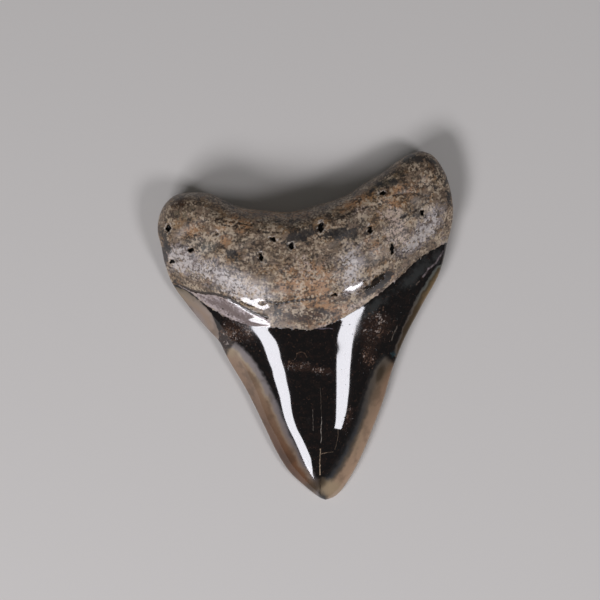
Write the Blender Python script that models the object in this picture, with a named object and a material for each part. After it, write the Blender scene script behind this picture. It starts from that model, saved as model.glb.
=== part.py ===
"""A polished megalodon tooth: one solid that lies on its flat labial face.

Seen from above, the tip points to -Y, the two root lobes to +Y, and the domed lingual face looks up (+Z).
The tooth is a loft between two sheets. Each sheet is a crown patch (tip to root line) and a root patch
(root line to basal arch), and the sheets meet along the cutting edges, the sides of the root and the arch.
The nutrient holes of the root are ellipsoids cut from the loft. Dimensions are in millimetres.
"""

import bmesh
import bpy
import numpy as np
from mathutils import Matrix, Vector
from mathutils.bvhtree import BVHTree

MM = 0.001

# Driving dimensions.
ROOT_THICKNESS = 18.0
EDGE_RADIUS = 0.45  # the polished cutting edges are a little blunt
ROOT_SIDE_RADIUS = 5.5
BASAL_RADIUS = 7.5
ROOT_LIP = 0.2  # how far the root stands proud of the enamel
LIP_WIDTH = 1.1
ROOT_LENGTH = 30.0  # root line to arch, about the middle
ROOT_RIM = 0.36  # the outline runs round the root at this share of its thickness
CREST_SHIFT = 0.055  # the crest lies left of the middle by this share of the half width
CREST_FULLNESS = 0.2  # how much fuller the dome is than a parabola
LABIAL_HOLLOW = 0.9  # rise of the labial face between its three resting places
HOLLOW_MIDDLE = (1.0, 15.0)
HOLLOW_REACH = (17.0, 16.0)
REST_DEPTH = 0.35  # how far the labial face is cut back where it rests
REST_BLEND = 0.3  # the cut runs out over about this height
REST_DROP = 0.09  # brings the cut face down to the floor
LUMP_HEIGHT = 0.22  # waviness of the root
HOLE_DEPTH = 0.9
HOLE_DETAIL = 2

# Mesh spacing.
ACROSS = 38
CROWN_ROWS = 20
LIP_ROWS = 4
ROOT_ROWS = 17
FINE_STEPS = (0.35, 1.0)  # the first mesh steps in from an edge, in millimetres
TIP_STEPS = (0.22, 0.6, 1.2, 2.0, 3.0)

# The outline, from the tip up the left cutting edge, over the root and down the right cutting edge: (X, Y).
OUTLINE = [
    (5.4, -44.6),
    (3.7, -44.2),
    (2.4, -43.3),
    (-0.4, -41.0),
    (-4.0, -37.6),
    (-7.8, -31.6),
    (-10.3, -26.3),
    (-15.2, -16.3),
    (-20.3, -7.6),
    (-22.3, -3.7),
    (-24.5, -1.4),
    (-26.9, 1.3),
    (-30.8, 6.2),
    (-34.2, 11.1),
    (-36.0, 16.4),
    (-36.8, 20.7),
    (-37.6, 24.0),
    (-37.4, 27.3),
    (-35.5, 31.4),
    (-33.2, 33.3),
    (-30.4, 33.9),
    (-23.9, 33.6),
    (-20.5, 32.0),
    (-16.7, 30.4),
    (-9.1, 29.4),
    (-5.0, 29.0),
    (2.4, 30.7),
    (11.4, 34.0),
    (13.9, 35.8),
    (19.0, 38.8),
    (26.4, 43.7),
    (29.2, 44.6),
    (31.7, 43.9),
    (35.1, 39.9),
    (36.9, 34.8),
    (37.6, 27.6),
    (36.4, 21.4),
    (34.6, 14.3),
    (29.8, 5.2),
    (25.2, -3.8),
    (22.5, -10.7),
    (20.0, -19.1),
    (17.7, -25.3),
    (14.2, -33.9),
    (10.9, -40.0),
    (9.2, -42.4),
    (7.2, -44.1),
]
LEFT_ROOT_END, LEFT_LOBE, RIGHT_LOBE, RIGHT_ROOT_END = 13, 19, 32, 36  # points of the outline

# The cutting edges without their small irregularities, run on beside the root: (Y, left X, right X).
SMOOTH_EDGES = [
    (-44.6, 5.1, 5.1),
    (-43.4, 2.5, 8.0),
    (-40.5, -1.0, 10.6),
    (-36.0, -5.1, 13.3),
    (-28.0, -9.7, 16.7),
    (-18.0, -14.4, 20.3),
    (-8.0, -20.2, 23.6),
    (2.0, -27.3, 27.9),
    (11.0, -34.1, 32.9),
    (21.0, -41.0, 37.6),
    (44.6, -54.0, 45.0),
]

# The root line, where the enamel ends, between the outline's points on each face.
LINGUAL_ROOT_LINE = [
    (-29.5, 8.7),
    (-25.4, 5.5),
    (-19.3, 2.0),
    (-12.5, 0.0),
    (-5.2, -0.3),
    (1.6, -0.8),
    (7.5, 1.2),
    (15.2, 5.8),
    (22.8, 11.6),
    (30.3, 18.2),
]
LABIAL_ROOT_LINE = [(-24.0, 10.6), (-12.0, 9.4), (0.0, 10.2), (12.0, 12.8), (25.0, 17.6)]

# The height of the lingual crest over the cutting edges: (Y, height).
CREST = [
    (-44.6, 0.8),
    (-40.5, 2.5),
    (-36.0, 3.7),
    (-28.0, 5.5),
    (-18.0, 6.8),
    (-8.0, 8.5),
    (2.0, 10.4),
    (11.0, 11.5),
    (20.0, 11.5),
    (30.0, 10.4),
    (44.6, 8.2),
]

# The height of the outline along the cutting edges: (row from tip to root line, height).
BLADE_HEIGHTS = [(0.0, 1.1), (0.3, 2.1), (0.7, 3.0), (1.0, 3.6)]

# Nutrient holes of the lingual face: (X, Y, width, length).
HOLES = [
    (3.8, 24.8, 1.3, 2.4),
    (-3.6, 20.1, 1.5, 1.5),
    (-8.1, 21.8, 1.8, 1.2),
    (-11.1, 17.4, 1.0, 2.1),
    (16.1, 24.3, 1.2, 1.9),
    (21.7, 19.6, 1.1, 2.8),
    (19.3, 33.5, 1.5, 1.1),
    (29.4, 28.7, 1.1, 1.6),
    (-34.6, 24.9, 1.5, 1.7),
    (-33.9, 16.6, 1.4, 1.2),
    (-28.8, 19.2, 1.4, 1.2),
    (-22.2, 23.3, 1.5, 1.6),
    (7.2, 8.1, 2.0, 1.2),
]


def smooth_step(low, high, value):
    """0 below low, 1 above high, and a smooth cubic between them."""
    share = np.clip((value - low) / (high - low), 0.0, 1.0)
    return share * share * (3.0 - 2.0 * share)


def spline(knots, values, at):
    """A cubic through the values at the knots, with a parabola's slope at each knot."""
    knots = np.asarray(knots, float)
    values = np.asarray(values, float)
    slopes = np.gradient(values, knots, axis=0)
    cell = np.clip(np.searchsorted(knots, at, side="right") - 1, 0, len(knots) - 2)
    width = knots[cell + 1] - knots[cell]
    share = (at - knots[cell]) / width
    if values.ndim > 1:
        share, width = share[..., None], width[..., None]
    rise = values[cell + 1] - values[cell]
    start, end = slopes[cell] * width, slopes[cell + 1] * width
    bend = (3.0 * rise - 2.0 * start - end) + share * (start + end - 2.0 * rise)
    return values[cell] + share * (start + share * bend)


def lengths(points):
    """The distance along a chain of points to each of them."""
    steps = np.linalg.norm(np.diff(np.asarray(points, float), axis=0), axis=1)
    return np.concatenate([[0.0], np.cumsum(steps)])


def along(points, share):
    """The point at a share of a smooth curve through the points."""
    knots = lengths(points)
    return spline(knots / knots[-1], points, share)


WRAPPED = OUTLINE[-3:] + OUTLINE + OUTLINE[:4]
WRAPPED_LENGTHS = lengths(WRAPPED)


def outline(start, end, share):
    """The point at a share of the outline between two of its points, counted past the last one if need be."""
    low, high = WRAPPED_LENGTHS[start + 3], WRAPPED_LENGTHS[end + 3]
    return spline(WRAPPED_LENGTHS, WRAPPED, low + (high - low) * share)


def side_point(v, root_end, lobe, tip):
    """One side of the outline: the cutting edge for v from 0 to 1, then the side of the root up to v of 2."""
    on_crown = outline(tip, root_end, np.clip(v, 0.0, 1.0))
    on_root = outline(root_end, lobe, np.clip(v - 1.0, 0.0, 1.0))
    return np.where((v > 1.0)[..., None], on_root, on_crown)


def sides(v):
    left = side_point(v, LEFT_ROOT_END, LEFT_LOBE, 0)
    right = side_point(v, RIGHT_ROOT_END, RIGHT_LOBE, len(OUTLINE))
    return left, right


def plan(u, v, root_line):
    """X and Y on a sheet: two Coons patches that share the root line. u runs from the left side to the right."""
    across = (u + 1.0) / 2.0
    left, right = sides(v)
    corners = np.array([OUTLINE[LEFT_ROOT_END], OUTLINE[RIGHT_ROOT_END]], float)
    line = along([corners[0], *root_line, corners[1]], across)
    arch = outline(LEFT_LOBE, RIGHT_LOBE, across)
    lobes = np.array([OUTLINE[LEFT_LOBE], OUTLINE[RIGHT_LOBE]], float)
    across = across[..., None]
    line_bow = line - (1.0 - across) * corners[0] - across * corners[1]
    arch_bow = arch - (1.0 - across) * lobes[0] - across * lobes[1]
    on_crown = np.clip(v, 0.0, 1.0)[..., None]
    on_root = np.clip(v - 1.0, 0.0, 1.0)[..., None]
    bow = on_crown * (1.0 - on_root) * line_bow + on_root * arch_bow
    return (1.0 - across) * left + across * right + bow


def from_tip(y):
    """A measure along the tooth that grows as the root of the distance, so that the tip comes out round."""
    return np.sqrt(np.maximum(y - OUTLINE[0][1], 0.0))


def place_across(x, y):
    """-1 at the left cutting edge, 0 midway and 1 at the right cutting edge."""
    stations = np.array(SMOOTH_EDGES)
    edges = spline(from_tip(stations[:, 0]), stations[:, 1:], from_tip(y))
    half = np.maximum((edges[..., 1] - edges[..., 0]) / 2.0, 0.2)
    return (x - (edges[..., 1] + edges[..., 0]) / 2.0) / half


def quarter_round(distance, radius):
    """0 at an edge, 1 a radius inside it, and a circle's arc between them."""
    inside = np.clip(distance / radius, 0.0, 1.0)
    return np.sqrt(np.maximum(1.0 - (1.0 - inside) ** 2, 0.0))


def outline_height(v):
    """The height of the outline: low along the cutting edges, higher round the root."""
    rows, heights = np.array(BLADE_HEIGHTS).T
    blade = spline(rows, heights, np.clip(v, 0.0, 1.0))
    return blade + (ROOT_THICKNESS * ROOT_RIM - heights[-1]) * smooth_step(1.0, 1.45, v)


def lumps(x, y):
    """The waviness of the root, between -1 and 1."""
    wave = np.sin(0.62 * x + 1.4 * np.sin(0.37 * y + 0.5)) * np.sin(0.51 * y - 0.9 + 0.8 * np.sin(0.29 * x))
    return 0.7 * wave + 0.3 * np.sin(1.21 * x - 0.7 * y) * np.sin(0.93 * y + 0.35 * x + 2.0)


def lingual_face(x, y, v):
    """The domed face: a parabola made fuller across the tooth, with the root's lip and waviness."""
    stations = np.array(CREST)
    crest = spline(from_tip(stations[:, 0]), stations[:, 1], from_tip(y))
    across = place_across(x, y)
    across = across + CREST_SHIFT * (1.0 - across**2)
    dome = crest * np.maximum(1.0 - across**2, 0.0) * (1.0 + CREST_FULLNESS * across**2)
    lip = ROOT_LIP * smooth_step(0.0, LIP_WIDTH, (v - 1.0) * ROOT_LENGTH)
    wave = LUMP_HEIGHT * lumps(x, y) * smooth_step(1.05, 1.3, v)
    return outline_height(v) + dome + lip + wave


def labial_face(x, y, v):
    """The flat face: a little convex across the crown and hollow between its three resting places."""
    blade = (outline_height(np.minimum(v, 1.0)) - EDGE_RADIUS) * np.minimum(place_across(x, y) ** 2, 1.0)
    (middle_x, middle_y), (reach_x, reach_y) = HOLLOW_MIDDLE, HOLLOW_REACH
    hollow = LABIAL_HOLLOW * np.exp(-(((x - middle_x) / reach_x) ** 2) - ((y - middle_y) / reach_y) ** 2)
    rise = blade * (1.0 - smooth_step(0.85, 1.35, v)) + hollow - REST_DEPTH
    return (rise + np.hypot(rise, REST_BLEND)) / 2.0 - REST_DROP


def sheet(u, v, lingual):
    """The points of one face, with its edges rounded, cut off level where the tooth rests."""
    x, y = np.moveaxis(plan(u, v, LINGUAL_ROOT_LINE if lingual else LABIAL_ROOT_LINE), -1, 0)
    face = lingual_face(x, y, v) if lingual else labial_face(x, y, v)
    left, right = sides(v)
    half_width = np.linalg.norm(right - left, axis=-1) / 2.0
    on_root = smooth_step(0.93, 1.25, v)
    radius = EDGE_RADIUS + (ROOT_SIDE_RADIUS - EDGE_RADIUS) * on_root
    closing = quarter_round((1.0 - np.abs(u)) * half_width, radius)
    closing = closing * quarter_round((2.0 - v) * ROOT_LENGTH, BASAL_RADIUS)
    blunt = EDGE_RADIUS * (1.0 - on_root) if lingual else 0.0
    z = outline_height(v) + (face - outline_height(v) + blunt) * closing
    return np.stack([x, y, np.maximum(z, 0.0)], axis=-1)


def graded(length, count, start_steps, end_steps):
    """Distances along a length: the given steps in from each end, and equal steps between them."""
    fit = min(1.0, length / (3.0 * max((0.01, *start_steps, *end_steps))))
    first = np.array((0.0, *start_steps)) * fit
    last = length - np.array((0.0, *end_steps))[::-1] * fit
    middle = np.linspace(first[-1], last[0], count + 1)
    return np.concatenate([first[:-1], middle, last[1:]])


def spaced(curve, count, start_steps, end_steps):
    """Shares of a dense curve's parameter at which those distances fall."""
    length = lengths(curve)
    wanted = graded(length[-1], count, start_steps, end_steps)
    return np.interp(wanted, length, np.linspace(0.0, 1.0, len(curve)))


def rows_of_v():
    """The rows from tip to arch, close together at the tip and at the root's lip."""
    dense = np.linspace(0.0, 1.0, 800)
    middle = np.zeros_like(dense)
    lip_end = 1.0 + LIP_WIDTH / ROOT_LENGTH
    crown = spaced(sheet(middle, dense, True), CROWN_ROWS, TIP_STEPS, ())
    lip = np.linspace(1.0, lip_end, LIP_ROWS)
    root_length = 2.0 - lip_end
    root = spaced(sheet(middle, lip_end + root_length * dense, True), ROOT_ROWS, (), FINE_STEPS)
    return np.concatenate([crown[:-1], lip[:-1], lip_end + root_length * root])


def sheet_grid(rows, lingual):
    """The sheet's points at every row, spaced from side to side."""
    dense = np.linspace(-1.0, 1.0, 600)
    grid = []
    for v in rows:
        row = np.full_like(dense, v)
        u = 2.0 * spaced(sheet(dense, row, lingual), ACROSS, FINE_STEPS, FINE_STEPS) - 1.0
        grid.append(sheet(u, np.full_like(u, v), lingual))
    return np.array(grid)


def lofted_tooth():
    """The closed loft: both sheets as quads, welded along the edges they share, then made triangles."""
    rows = rows_of_v()
    tooth = bmesh.new()
    for lingual in (True, False):
        points = [[tooth.verts.new(p) for p in row] for row in sheet_grid(rows, lingual) * MM]
        for low, high in zip(points, points[1:]):
            for i in range(len(low) - 1):
                corners = [low[i], low[i + 1], high[i + 1], high[i]]
                tooth.faces.new(corners if lingual else corners[::-1])
    bmesh.ops.remove_doubles(tooth, verts=tooth.verts, dist=0.00001)
    bmesh.ops.triangulate(tooth, faces=tooth.faces)
    bmesh.ops.recalc_face_normals(tooth, faces=tooth.faces)
    return tooth


def hole_cutters(tooth):
    """Ellipsoids sunk into the lingual face, one for each nutrient hole."""
    surface = BVHTree.FromBMesh(tooth)
    cutters = bmesh.new()
    for x, y, width, length in HOLES:
        place, normal, _, _ = surface.ray_cast(Vector((x, y, 100.0)) * MM, Vector((0.0, 0.0, -1.0)))
        turn = normal.to_track_quat("Z", "Y").to_matrix().to_4x4()
        size = Matrix.Diagonal((width / 2.0, length / 2.0, HOLE_DEPTH, 1.0))
        at = Matrix.Translation(place) @ turn @ Matrix.Scale(MM, 4) @ size
        bmesh.ops.create_icosphere(cutters, subdivisions=HOLE_DETAIL, radius=1.0, matrix=at)
    return cutters


def add_object(name, shape, collection):
    mesh = bpy.data.meshes.new(name)
    shape.to_mesh(mesh)
    shape.free()
    added = bpy.data.objects.new(name, mesh)
    collection.objects.link(added)
    return added


def add_collection(name):
    collection = bpy.data.collections.new(name)
    bpy.context.scene.collection.children.link(collection)
    return collection


def fossil_material():
    """Brown mineralised dentine and black enamel, polished to one gloss."""
    material = bpy.data.materials.new("polished_fossil")
    material.use_nodes = True
    shader = material.node_tree.nodes["Principled BSDF"]
    shader.inputs["Base Color"].default_value = (0.09, 0.065, 0.045, 1.0)
    shader.inputs["Roughness"].default_value = 0.15
    return material


def main():
    visible = add_collection("megalodon_tooth")
    helpers = add_collection("cutters")
    helpers.hide_render = True

    shape = lofted_tooth()
    cutters = add_object("hole_cutters", hole_cutters(shape), helpers)
    cutters.hide_render = True
    cutters.display_type = "WIRE"

    tooth = add_object("tooth", shape, visible)
    tooth.data.materials.append(fossil_material())
    holes = tooth.modifiers.new("nutrient_holes", "BOOLEAN")
    holes.operation = "DIFFERENCE"
    holes.solver = "EXACT"
    holes.object = cutters


for old in list(bpy.data.objects):
    bpy.data.objects.remove(old)
main()
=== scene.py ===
"""A polished megalodon tooth, dressed: the fine surface of the fossil, its finish, and a plain studio.

The tooth lies on its flat labial face, tip towards -Y, root towards +Y, domed lingual face up. Its form is
worked out in millimetres as two sheets over one grid, and put into the mesh in metres. What the finish needs
to know about each place, such as how far it is from the root line, is kept in the mesh as attributes.
"""

import logging
from dataclasses import dataclass, field
from enum import Enum

import bmesh
import bpy
import numpy as np
from mathutils import Matrix, Vector


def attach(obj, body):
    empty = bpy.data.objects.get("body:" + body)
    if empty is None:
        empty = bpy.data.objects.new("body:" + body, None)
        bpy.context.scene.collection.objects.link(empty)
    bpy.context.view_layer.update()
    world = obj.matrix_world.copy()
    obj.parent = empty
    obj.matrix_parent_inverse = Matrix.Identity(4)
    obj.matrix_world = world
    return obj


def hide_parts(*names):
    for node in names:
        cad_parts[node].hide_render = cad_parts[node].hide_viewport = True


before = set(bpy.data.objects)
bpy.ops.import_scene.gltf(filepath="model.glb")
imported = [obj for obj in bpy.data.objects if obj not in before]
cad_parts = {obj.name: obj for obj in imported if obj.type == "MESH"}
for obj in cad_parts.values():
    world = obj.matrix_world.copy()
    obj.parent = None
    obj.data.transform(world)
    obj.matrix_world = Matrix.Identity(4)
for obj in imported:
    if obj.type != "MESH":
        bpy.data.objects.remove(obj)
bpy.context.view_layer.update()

log = logging.getLogger("tooth")

MM = 0.001
Points = list[tuple[float, float]]
Array = np.ndarray
Tree = bpy.types.NodeTree
Socket = bpy.types.NodeSocket


def smooth_step(low: float, high: float, value: Array) -> Array:
    """Blend from 0 to 1: the cubic 3s^2 - 2s^3 of the share s of the way from low to high.

    Args:
        low: where the result leaves 0.
        high: where the result reaches 1.
        value: the places to work it out at.

    Returns:
        The blend at each place.
    """
    share = np.clip((value - low) / (high - low), 0.0, 1.0)
    return share * share * (3.0 - 2.0 * share)


def chain_lengths(points: Array) -> Array:
    """Measure along a chain of points: the running sum of the steps between them.

    Args:
        points: the chain, one point a row.

    Returns:
        The distance from the first point to each point.
    """
    steps = np.linalg.norm(np.diff(points, axis=0), axis=1)
    return np.concatenate([[0.0], np.cumsum(steps)])


def cubic(knots: Array, values: Array, at: Array) -> Array:
    """Run a smooth curve through values at knots, with a cubic between two knots.

    Its slope at a knot is that of the parabola through the knot and its neighbours.

    Args:
        knots: where the values are, rising.
        values: a number or a point for each knot.
        at: where to read the curve.

    Returns:
        The curve's value at each place.
    """
    slopes = np.gradient(values, knots, axis=0)
    cell = np.clip(np.searchsorted(knots, at, side="right") - 1, 0, len(knots) - 2)
    width = knots[cell + 1] - knots[cell]
    share = (at - knots[cell]) / width
    if values.ndim > 1:
        share, width = share[..., None], width[..., None]
    rise = values[cell + 1] - values[cell]
    start, end = slopes[cell] * width, slopes[cell + 1] * width
    bend = (3.0 * rise - 2.0 * start - end) + share * (start + end - 2.0 * rise)
    return values[cell] + share * (start + share * bend)


def along(points: Points, share: Array) -> Array:
    """Read a smooth curve through points at shares of its length.

    Args:
        points: the curve's points.
        share: 0 at the first point and 1 at the last.

    Returns:
        A point for each share.
    """
    chain = np.array(points, float)
    lengths = chain_lengths(chain)
    return cubic(lengths / lengths[-1], chain, share)


def quarter_round(distance: Array, radius: Array) -> Array:
    """Close a face towards its edge: sqrt(1 - (1 - d/r)^2), a quarter of a circle of radius r.

    Args:
        distance: how far each place is from the edge.
        radius: the circle's radius there.

    Returns:
        0 at the edge and 1 from a radius inwards.
    """
    inside = np.clip(distance / radius, 0.0, 1.0)
    return np.sqrt(np.maximum(1.0 - (1.0 - inside) ** 2, 0.0))


def chain_distance(places: Array, chain: Array) -> Array:
    """Measure from places to a chain of straight pieces: the least distance to any of them.

    Args:
        places: points in the plane, one a row.
        chain: the chain's points, one a row.

    Returns:
        The distance of each place.
    """
    least = np.full(len(places), np.inf)
    for (x0, y0), (x1, y1) in zip(chain, chain[1:]):
        dx, dy = x1 - x0, y1 - y0
        share = ((places[:, 0] - x0) * dx + (places[:, 1] - y0) * dy) / (dx * dx + dy * dy)
        share = np.clip(share, 0.0, 1.0)
        gap = np.hypot(places[:, 0] - x0 - share * dx, places[:, 1] - y0 - share * dy)
        least = np.minimum(least, gap)
    return least


def signed_distance(places: Array, ring: Array) -> Array:
    """Measure from places to a closed outline: the least distance to its sides, positive inside it.

    A place is inside if a line from it to +X crosses the outline an odd number of times.

    Args:
        places: points in the plane, one a row.
        ring: the outline's points, one a row, not repeated at the end.

    Returns:
        The signed distance of each place.
    """
    inside = np.zeros(len(places), bool)
    for (x0, y0), (x1, y1) in zip(ring, np.roll(ring, -1, axis=0)):
        if y0 != y1:
            crosses = (y0 > places[:, 1]) != (y1 > places[:, 1])
            inside ^= crosses & (places[:, 0] < x0 + (x1 - x0) * (places[:, 1] - y0) / (y1 - y0))
    least = chain_distance(places, np.concatenate([ring, ring[:1]]))
    return np.where(inside, least, -least)


@dataclass(frozen=True)
class Patch:
    """A soft oval place: middle and half sizes in millimetres, turn in degrees, and strength."""

    x: float
    y: float
    half_x: float
    half_y: float
    turn: float = 0.0
    strength: float = 1.0

    def reach(self, x: Array, y: Array) -> Array:
        """Work out exp(-r^2), with r the distance from the middle in half sizes, times the strength.

        Args:
            x: X of the places.
            y: Y of the places.

        Returns:
            The reach at each place, from 0 far away to the strength at the middle.
        """
        cos, sin = np.cos(np.radians(self.turn)), np.sin(np.radians(self.turn))
        across = (x - self.x) * cos + (y - self.y) * sin
        up = (y - self.y) * cos - (x - self.x) * sin
        return self.strength * np.exp(-((across / self.half_x) ** 2) - (up / self.half_y) ** 2)


def together(patches: tuple[Patch, ...], x: Array, y: Array) -> Array:
    """Add patches up, the sum kept below 1.

    Args:
        patches: the patches.
        x: X of the places.
        y: Y of the places.

    Returns:
        The sum at each place.
    """
    return np.clip(sum(patch.reach(x, y) for patch in patches), 0.0, 1.0)


@dataclass
class ToothForm:
    """The tooth's own shape, the same as the solid's, in millimetres: outline, root line, crest, thickness.

    The fields whose names end in rows are rows between which one form gives way to another: 0 is the tip,
    1 the root line and 2 the arch.
    """

    root_thickness: float = 18.0
    edge_radius: float = 0.45
    root_side_radius: float = 5.5
    basal_radius: float = 7.5
    root_lip: float = 0.2
    lip_width: float = 1.1
    root_length: float = 30.0
    root_rim: float = 0.36
    crest_shift: float = 0.055
    crest_fullness: float = 0.2
    labial_hollow: float = 0.9
    hollow_middle: tuple[float, float] = (1.0, 15.0)
    hollow_reach: tuple[float, float] = (17.0, 16.0)
    rest_depth: float = 0.35
    rest_blend: float = 0.3
    rest_drop: float = 0.09
    lump_height: float = 0.22
    least_half_width: float = 0.2
    rim_rows: tuple[float, float] = (1.0, 1.45)
    lump_rows: tuple[float, float] = (1.05, 1.3)
    blade_end_rows: tuple[float, float] = (0.85, 1.35)
    round_side_rows: tuple[float, float] = (0.93, 1.25)

    outline_points: Points = field(default_factory=lambda: [
        (5.4, -44.6), (3.7, -44.2), (2.4, -43.3), (-0.4, -41.0), (-4.0, -37.6), (-7.8, -31.6),
        (-10.3, -26.3), (-15.2, -16.3), (-20.3, -7.6), (-22.3, -3.7), (-24.5, -1.4), (-26.9, 1.3),
        (-30.8, 6.2), (-34.2, 11.1), (-36.0, 16.4), (-36.8, 20.7), (-37.6, 24.0), (-37.4, 27.3),
        (-35.5, 31.4), (-33.2, 33.3), (-30.4, 33.9), (-23.9, 33.6), (-20.5, 32.0), (-16.7, 30.4),
        (-9.1, 29.4), (-5.0, 29.0), (2.4, 30.7), (11.4, 34.0), (13.9, 35.8), (19.0, 38.8), (26.4, 43.7),
        (29.2, 44.6), (31.7, 43.9), (35.1, 39.9), (36.9, 34.8), (37.6, 27.6), (36.4, 21.4), (34.6, 14.3),
        (29.8, 5.2), (25.2, -3.8), (22.5, -10.7), (20.0, -19.1), (17.7, -25.3), (14.2, -33.9),
        (10.9, -40.0), (9.2, -42.4), (7.2, -44.1),
    ])
    left_root_end: int = 13
    left_lobe: int = 19
    right_lobe: int = 32
    right_root_end: int = 36

    smooth_edges: list[tuple[float, float, float]] = field(default_factory=lambda: [
        (-44.6, 5.1, 5.1), (-43.4, 2.5, 8.0), (-40.5, -1.0, 10.6), (-36.0, -5.1, 13.3), (-28.0, -9.7, 16.7),
        (-18.0, -14.4, 20.3), (-8.0, -20.2, 23.6), (2.0, -27.3, 27.9), (11.0, -34.1, 32.9),
        (21.0, -41.0, 37.6), (44.6, -54.0, 45.0),
    ])
    lingual_root_line: Points = field(default_factory=lambda: [
        (-29.5, 8.7), (-25.4, 5.5), (-19.3, 2.0), (-12.5, 0.0), (-5.2, -0.3), (1.6, -0.8), (7.5, 1.2),
        (15.2, 5.8), (22.8, 11.6), (30.3, 18.2),
    ])
    labial_root_line: Points = field(default_factory=lambda: [
        (-24.0, 10.6), (-12.0, 9.4), (0.0, 10.2), (12.0, 12.8), (25.0, 17.6),
    ])
    crest_heights: Points = field(default_factory=lambda: [
        (-44.6, 0.8), (-40.5, 2.5), (-36.0, 3.7), (-28.0, 5.5), (-18.0, 6.8), (-8.0, 8.5), (2.0, 10.4),
        (11.0, 11.5), (20.0, 11.5), (30.0, 10.4), (44.6, 8.2),
    ])
    blade_heights: Points = field(default_factory=lambda: [(0.0, 1.1), (0.3, 2.1), (0.7, 3.0), (1.0, 3.6)])

    def outline(self, start: int, end: int, share: Array) -> Array:
        """Read the outline between two of its points: a smooth closed curve through all of them.

        Args:
            start: the first point's number.
            end: the last point's number, counted on past the end of the list if need be.
            share: 0 at the first point and 1 at the last.

        Returns:
            X and Y at each share.
        """
        ring = self.outline_points
        chain = np.array(ring[-3:] + ring + ring[:4], float)
        lengths = chain_lengths(chain)
        low, high = lengths[start + 3], lengths[end + 3]
        return cubic(lengths, chain, low + (high - low) * share)

    def sides(self, v: Array) -> tuple[Array, Array]:
        """Find the outline's two sides: cutting edges for v from 0 to 1, then the sides of the root up to 2.

        Args:
            v: the rows, 0 at the tip, 1 at the root line, 2 at the arch.

        Returns:
            X and Y of the left side and of the right side at each row.
        """
        on_crown, on_root = np.clip(v, 0.0, 1.0), np.clip(v - 1.0, 0.0, 1.0)
        above = (v > 1.0)[..., None]
        last = len(self.outline_points)
        left = np.where(
            above,
            self.outline(self.left_root_end, self.left_lobe, on_root),
            self.outline(0, self.left_root_end, on_crown),
        )
        right = np.where(
            above,
            self.outline(self.right_root_end, self.right_lobe, on_root),
            self.outline(last, self.right_root_end, on_crown),
        )
        return left, right

    def root_line(self, lingual: bool, share: Array) -> Array:
        """Read the root line of one face from its left end to its right end.

        Args:
            lingual: the domed face if true, the flat one if not.
            share: 0 at the left end and 1 at the right.

        Returns:
            X and Y at each share.
        """
        inner = self.lingual_root_line if lingual else self.labial_root_line
        ends = [self.outline_points[i] for i in (self.left_root_end, self.right_root_end)]
        return along([ends[0], *inner, ends[1]], share)

    def plan(self, u: Array, v: Array, lingual: bool) -> Array:
        """Lay a sheet out flat: two patches that share the root line, each blended from its sides and ends.

        A point is on the straight chord between the two sides of its row, moved by the bow of the root line
        and of the arch from their own chords, each in the share that the row is near it.

        Args:
            u: -1 at the left side and 1 at the right.
            v: 0 at the tip, 1 at the root line, 2 at the arch.
            lingual: the domed face if true, the flat one if not.

        Returns:
            X and Y of each place.
        """
        share = (u + 1.0) / 2.0
        left, right = self.sides(v)
        line, arch = self.root_line(lingual, share), self.outline(self.left_lobe, self.right_lobe, share)
        line_ends = self.root_line(lingual, np.array([0.0, 1.0]))
        arch_ends = self.outline(self.left_lobe, self.right_lobe, np.array([0.0, 1.0]))
        share = share[..., None]
        line_bow = line - (1.0 - share) * line_ends[0] - share * line_ends[1]
        arch_bow = arch - (1.0 - share) * arch_ends[0] - share * arch_ends[1]
        on_crown, on_root = np.clip(v, 0.0, 1.0)[..., None], np.clip(v - 1.0, 0.0, 1.0)[..., None]
        bow = on_crown * (1.0 - on_root) * line_bow + on_root * arch_bow
        return (1.0 - share) * left + share * right + bow

    def from_tip(self, y: Array) -> Array:
        """Measure along the tooth: the square root of the distance from the tip, to keep the tip round."""
        return np.sqrt(np.maximum(y - self.outline_points[0][1], 0.0))

    def place_across(self, x: Array, y: Array) -> Array:
        """Find the place between the cutting edges: (x - middle) / half width.

        Args:
            x: X of the places.
            y: Y of the places.

        Returns:
            -1 at the left edge, 0 midway, 1 at the right edge.
        """
        stations = np.array(self.smooth_edges)
        edges = cubic(self.from_tip(stations[:, 0]), stations[:, 1:], self.from_tip(y))
        half = np.maximum((edges[..., 1] - edges[..., 0]) / 2.0, self.least_half_width)
        return (x - (edges[..., 1] + edges[..., 0]) / 2.0) / half

    def outline_height(self, v: Array) -> Array:
        """Give the outline's height over the floor: low along the cutting edges, higher round the root.

        Args:
            v: the rows.

        Returns:
            The height at each row.
        """
        rows, heights = np.array(self.blade_heights).T
        blade = cubic(rows, heights, np.clip(v, 0.0, 1.0))
        root_rise = self.root_thickness * self.root_rim - heights[-1]
        return blade + root_rise * smooth_step(*self.rim_rows, v)

    @staticmethod
    def lumps(x: Array, y: Array) -> Array:
        """Give the root's waviness: 0.7 of a product of two bent sine waves, and 0.3 of a finer product.

        Args:
            x: X of the places.
            y: Y of the places.

        Returns:
            The waviness at each place, from -1 to 1.
        """
        # The waves are in radians a millimetre, and their lengths are uneven, so that nothing repeats.
        wave = np.sin(0.62 * x + 1.4 * np.sin(0.37 * y + 0.5))
        wave = wave * np.sin(0.51 * y - 0.9 + 0.8 * np.sin(0.29 * x))
        return 0.7 * wave + 0.3 * np.sin(1.21 * x - 0.7 * y) * np.sin(0.93 * y + 0.35 * x + 2.0)

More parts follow.
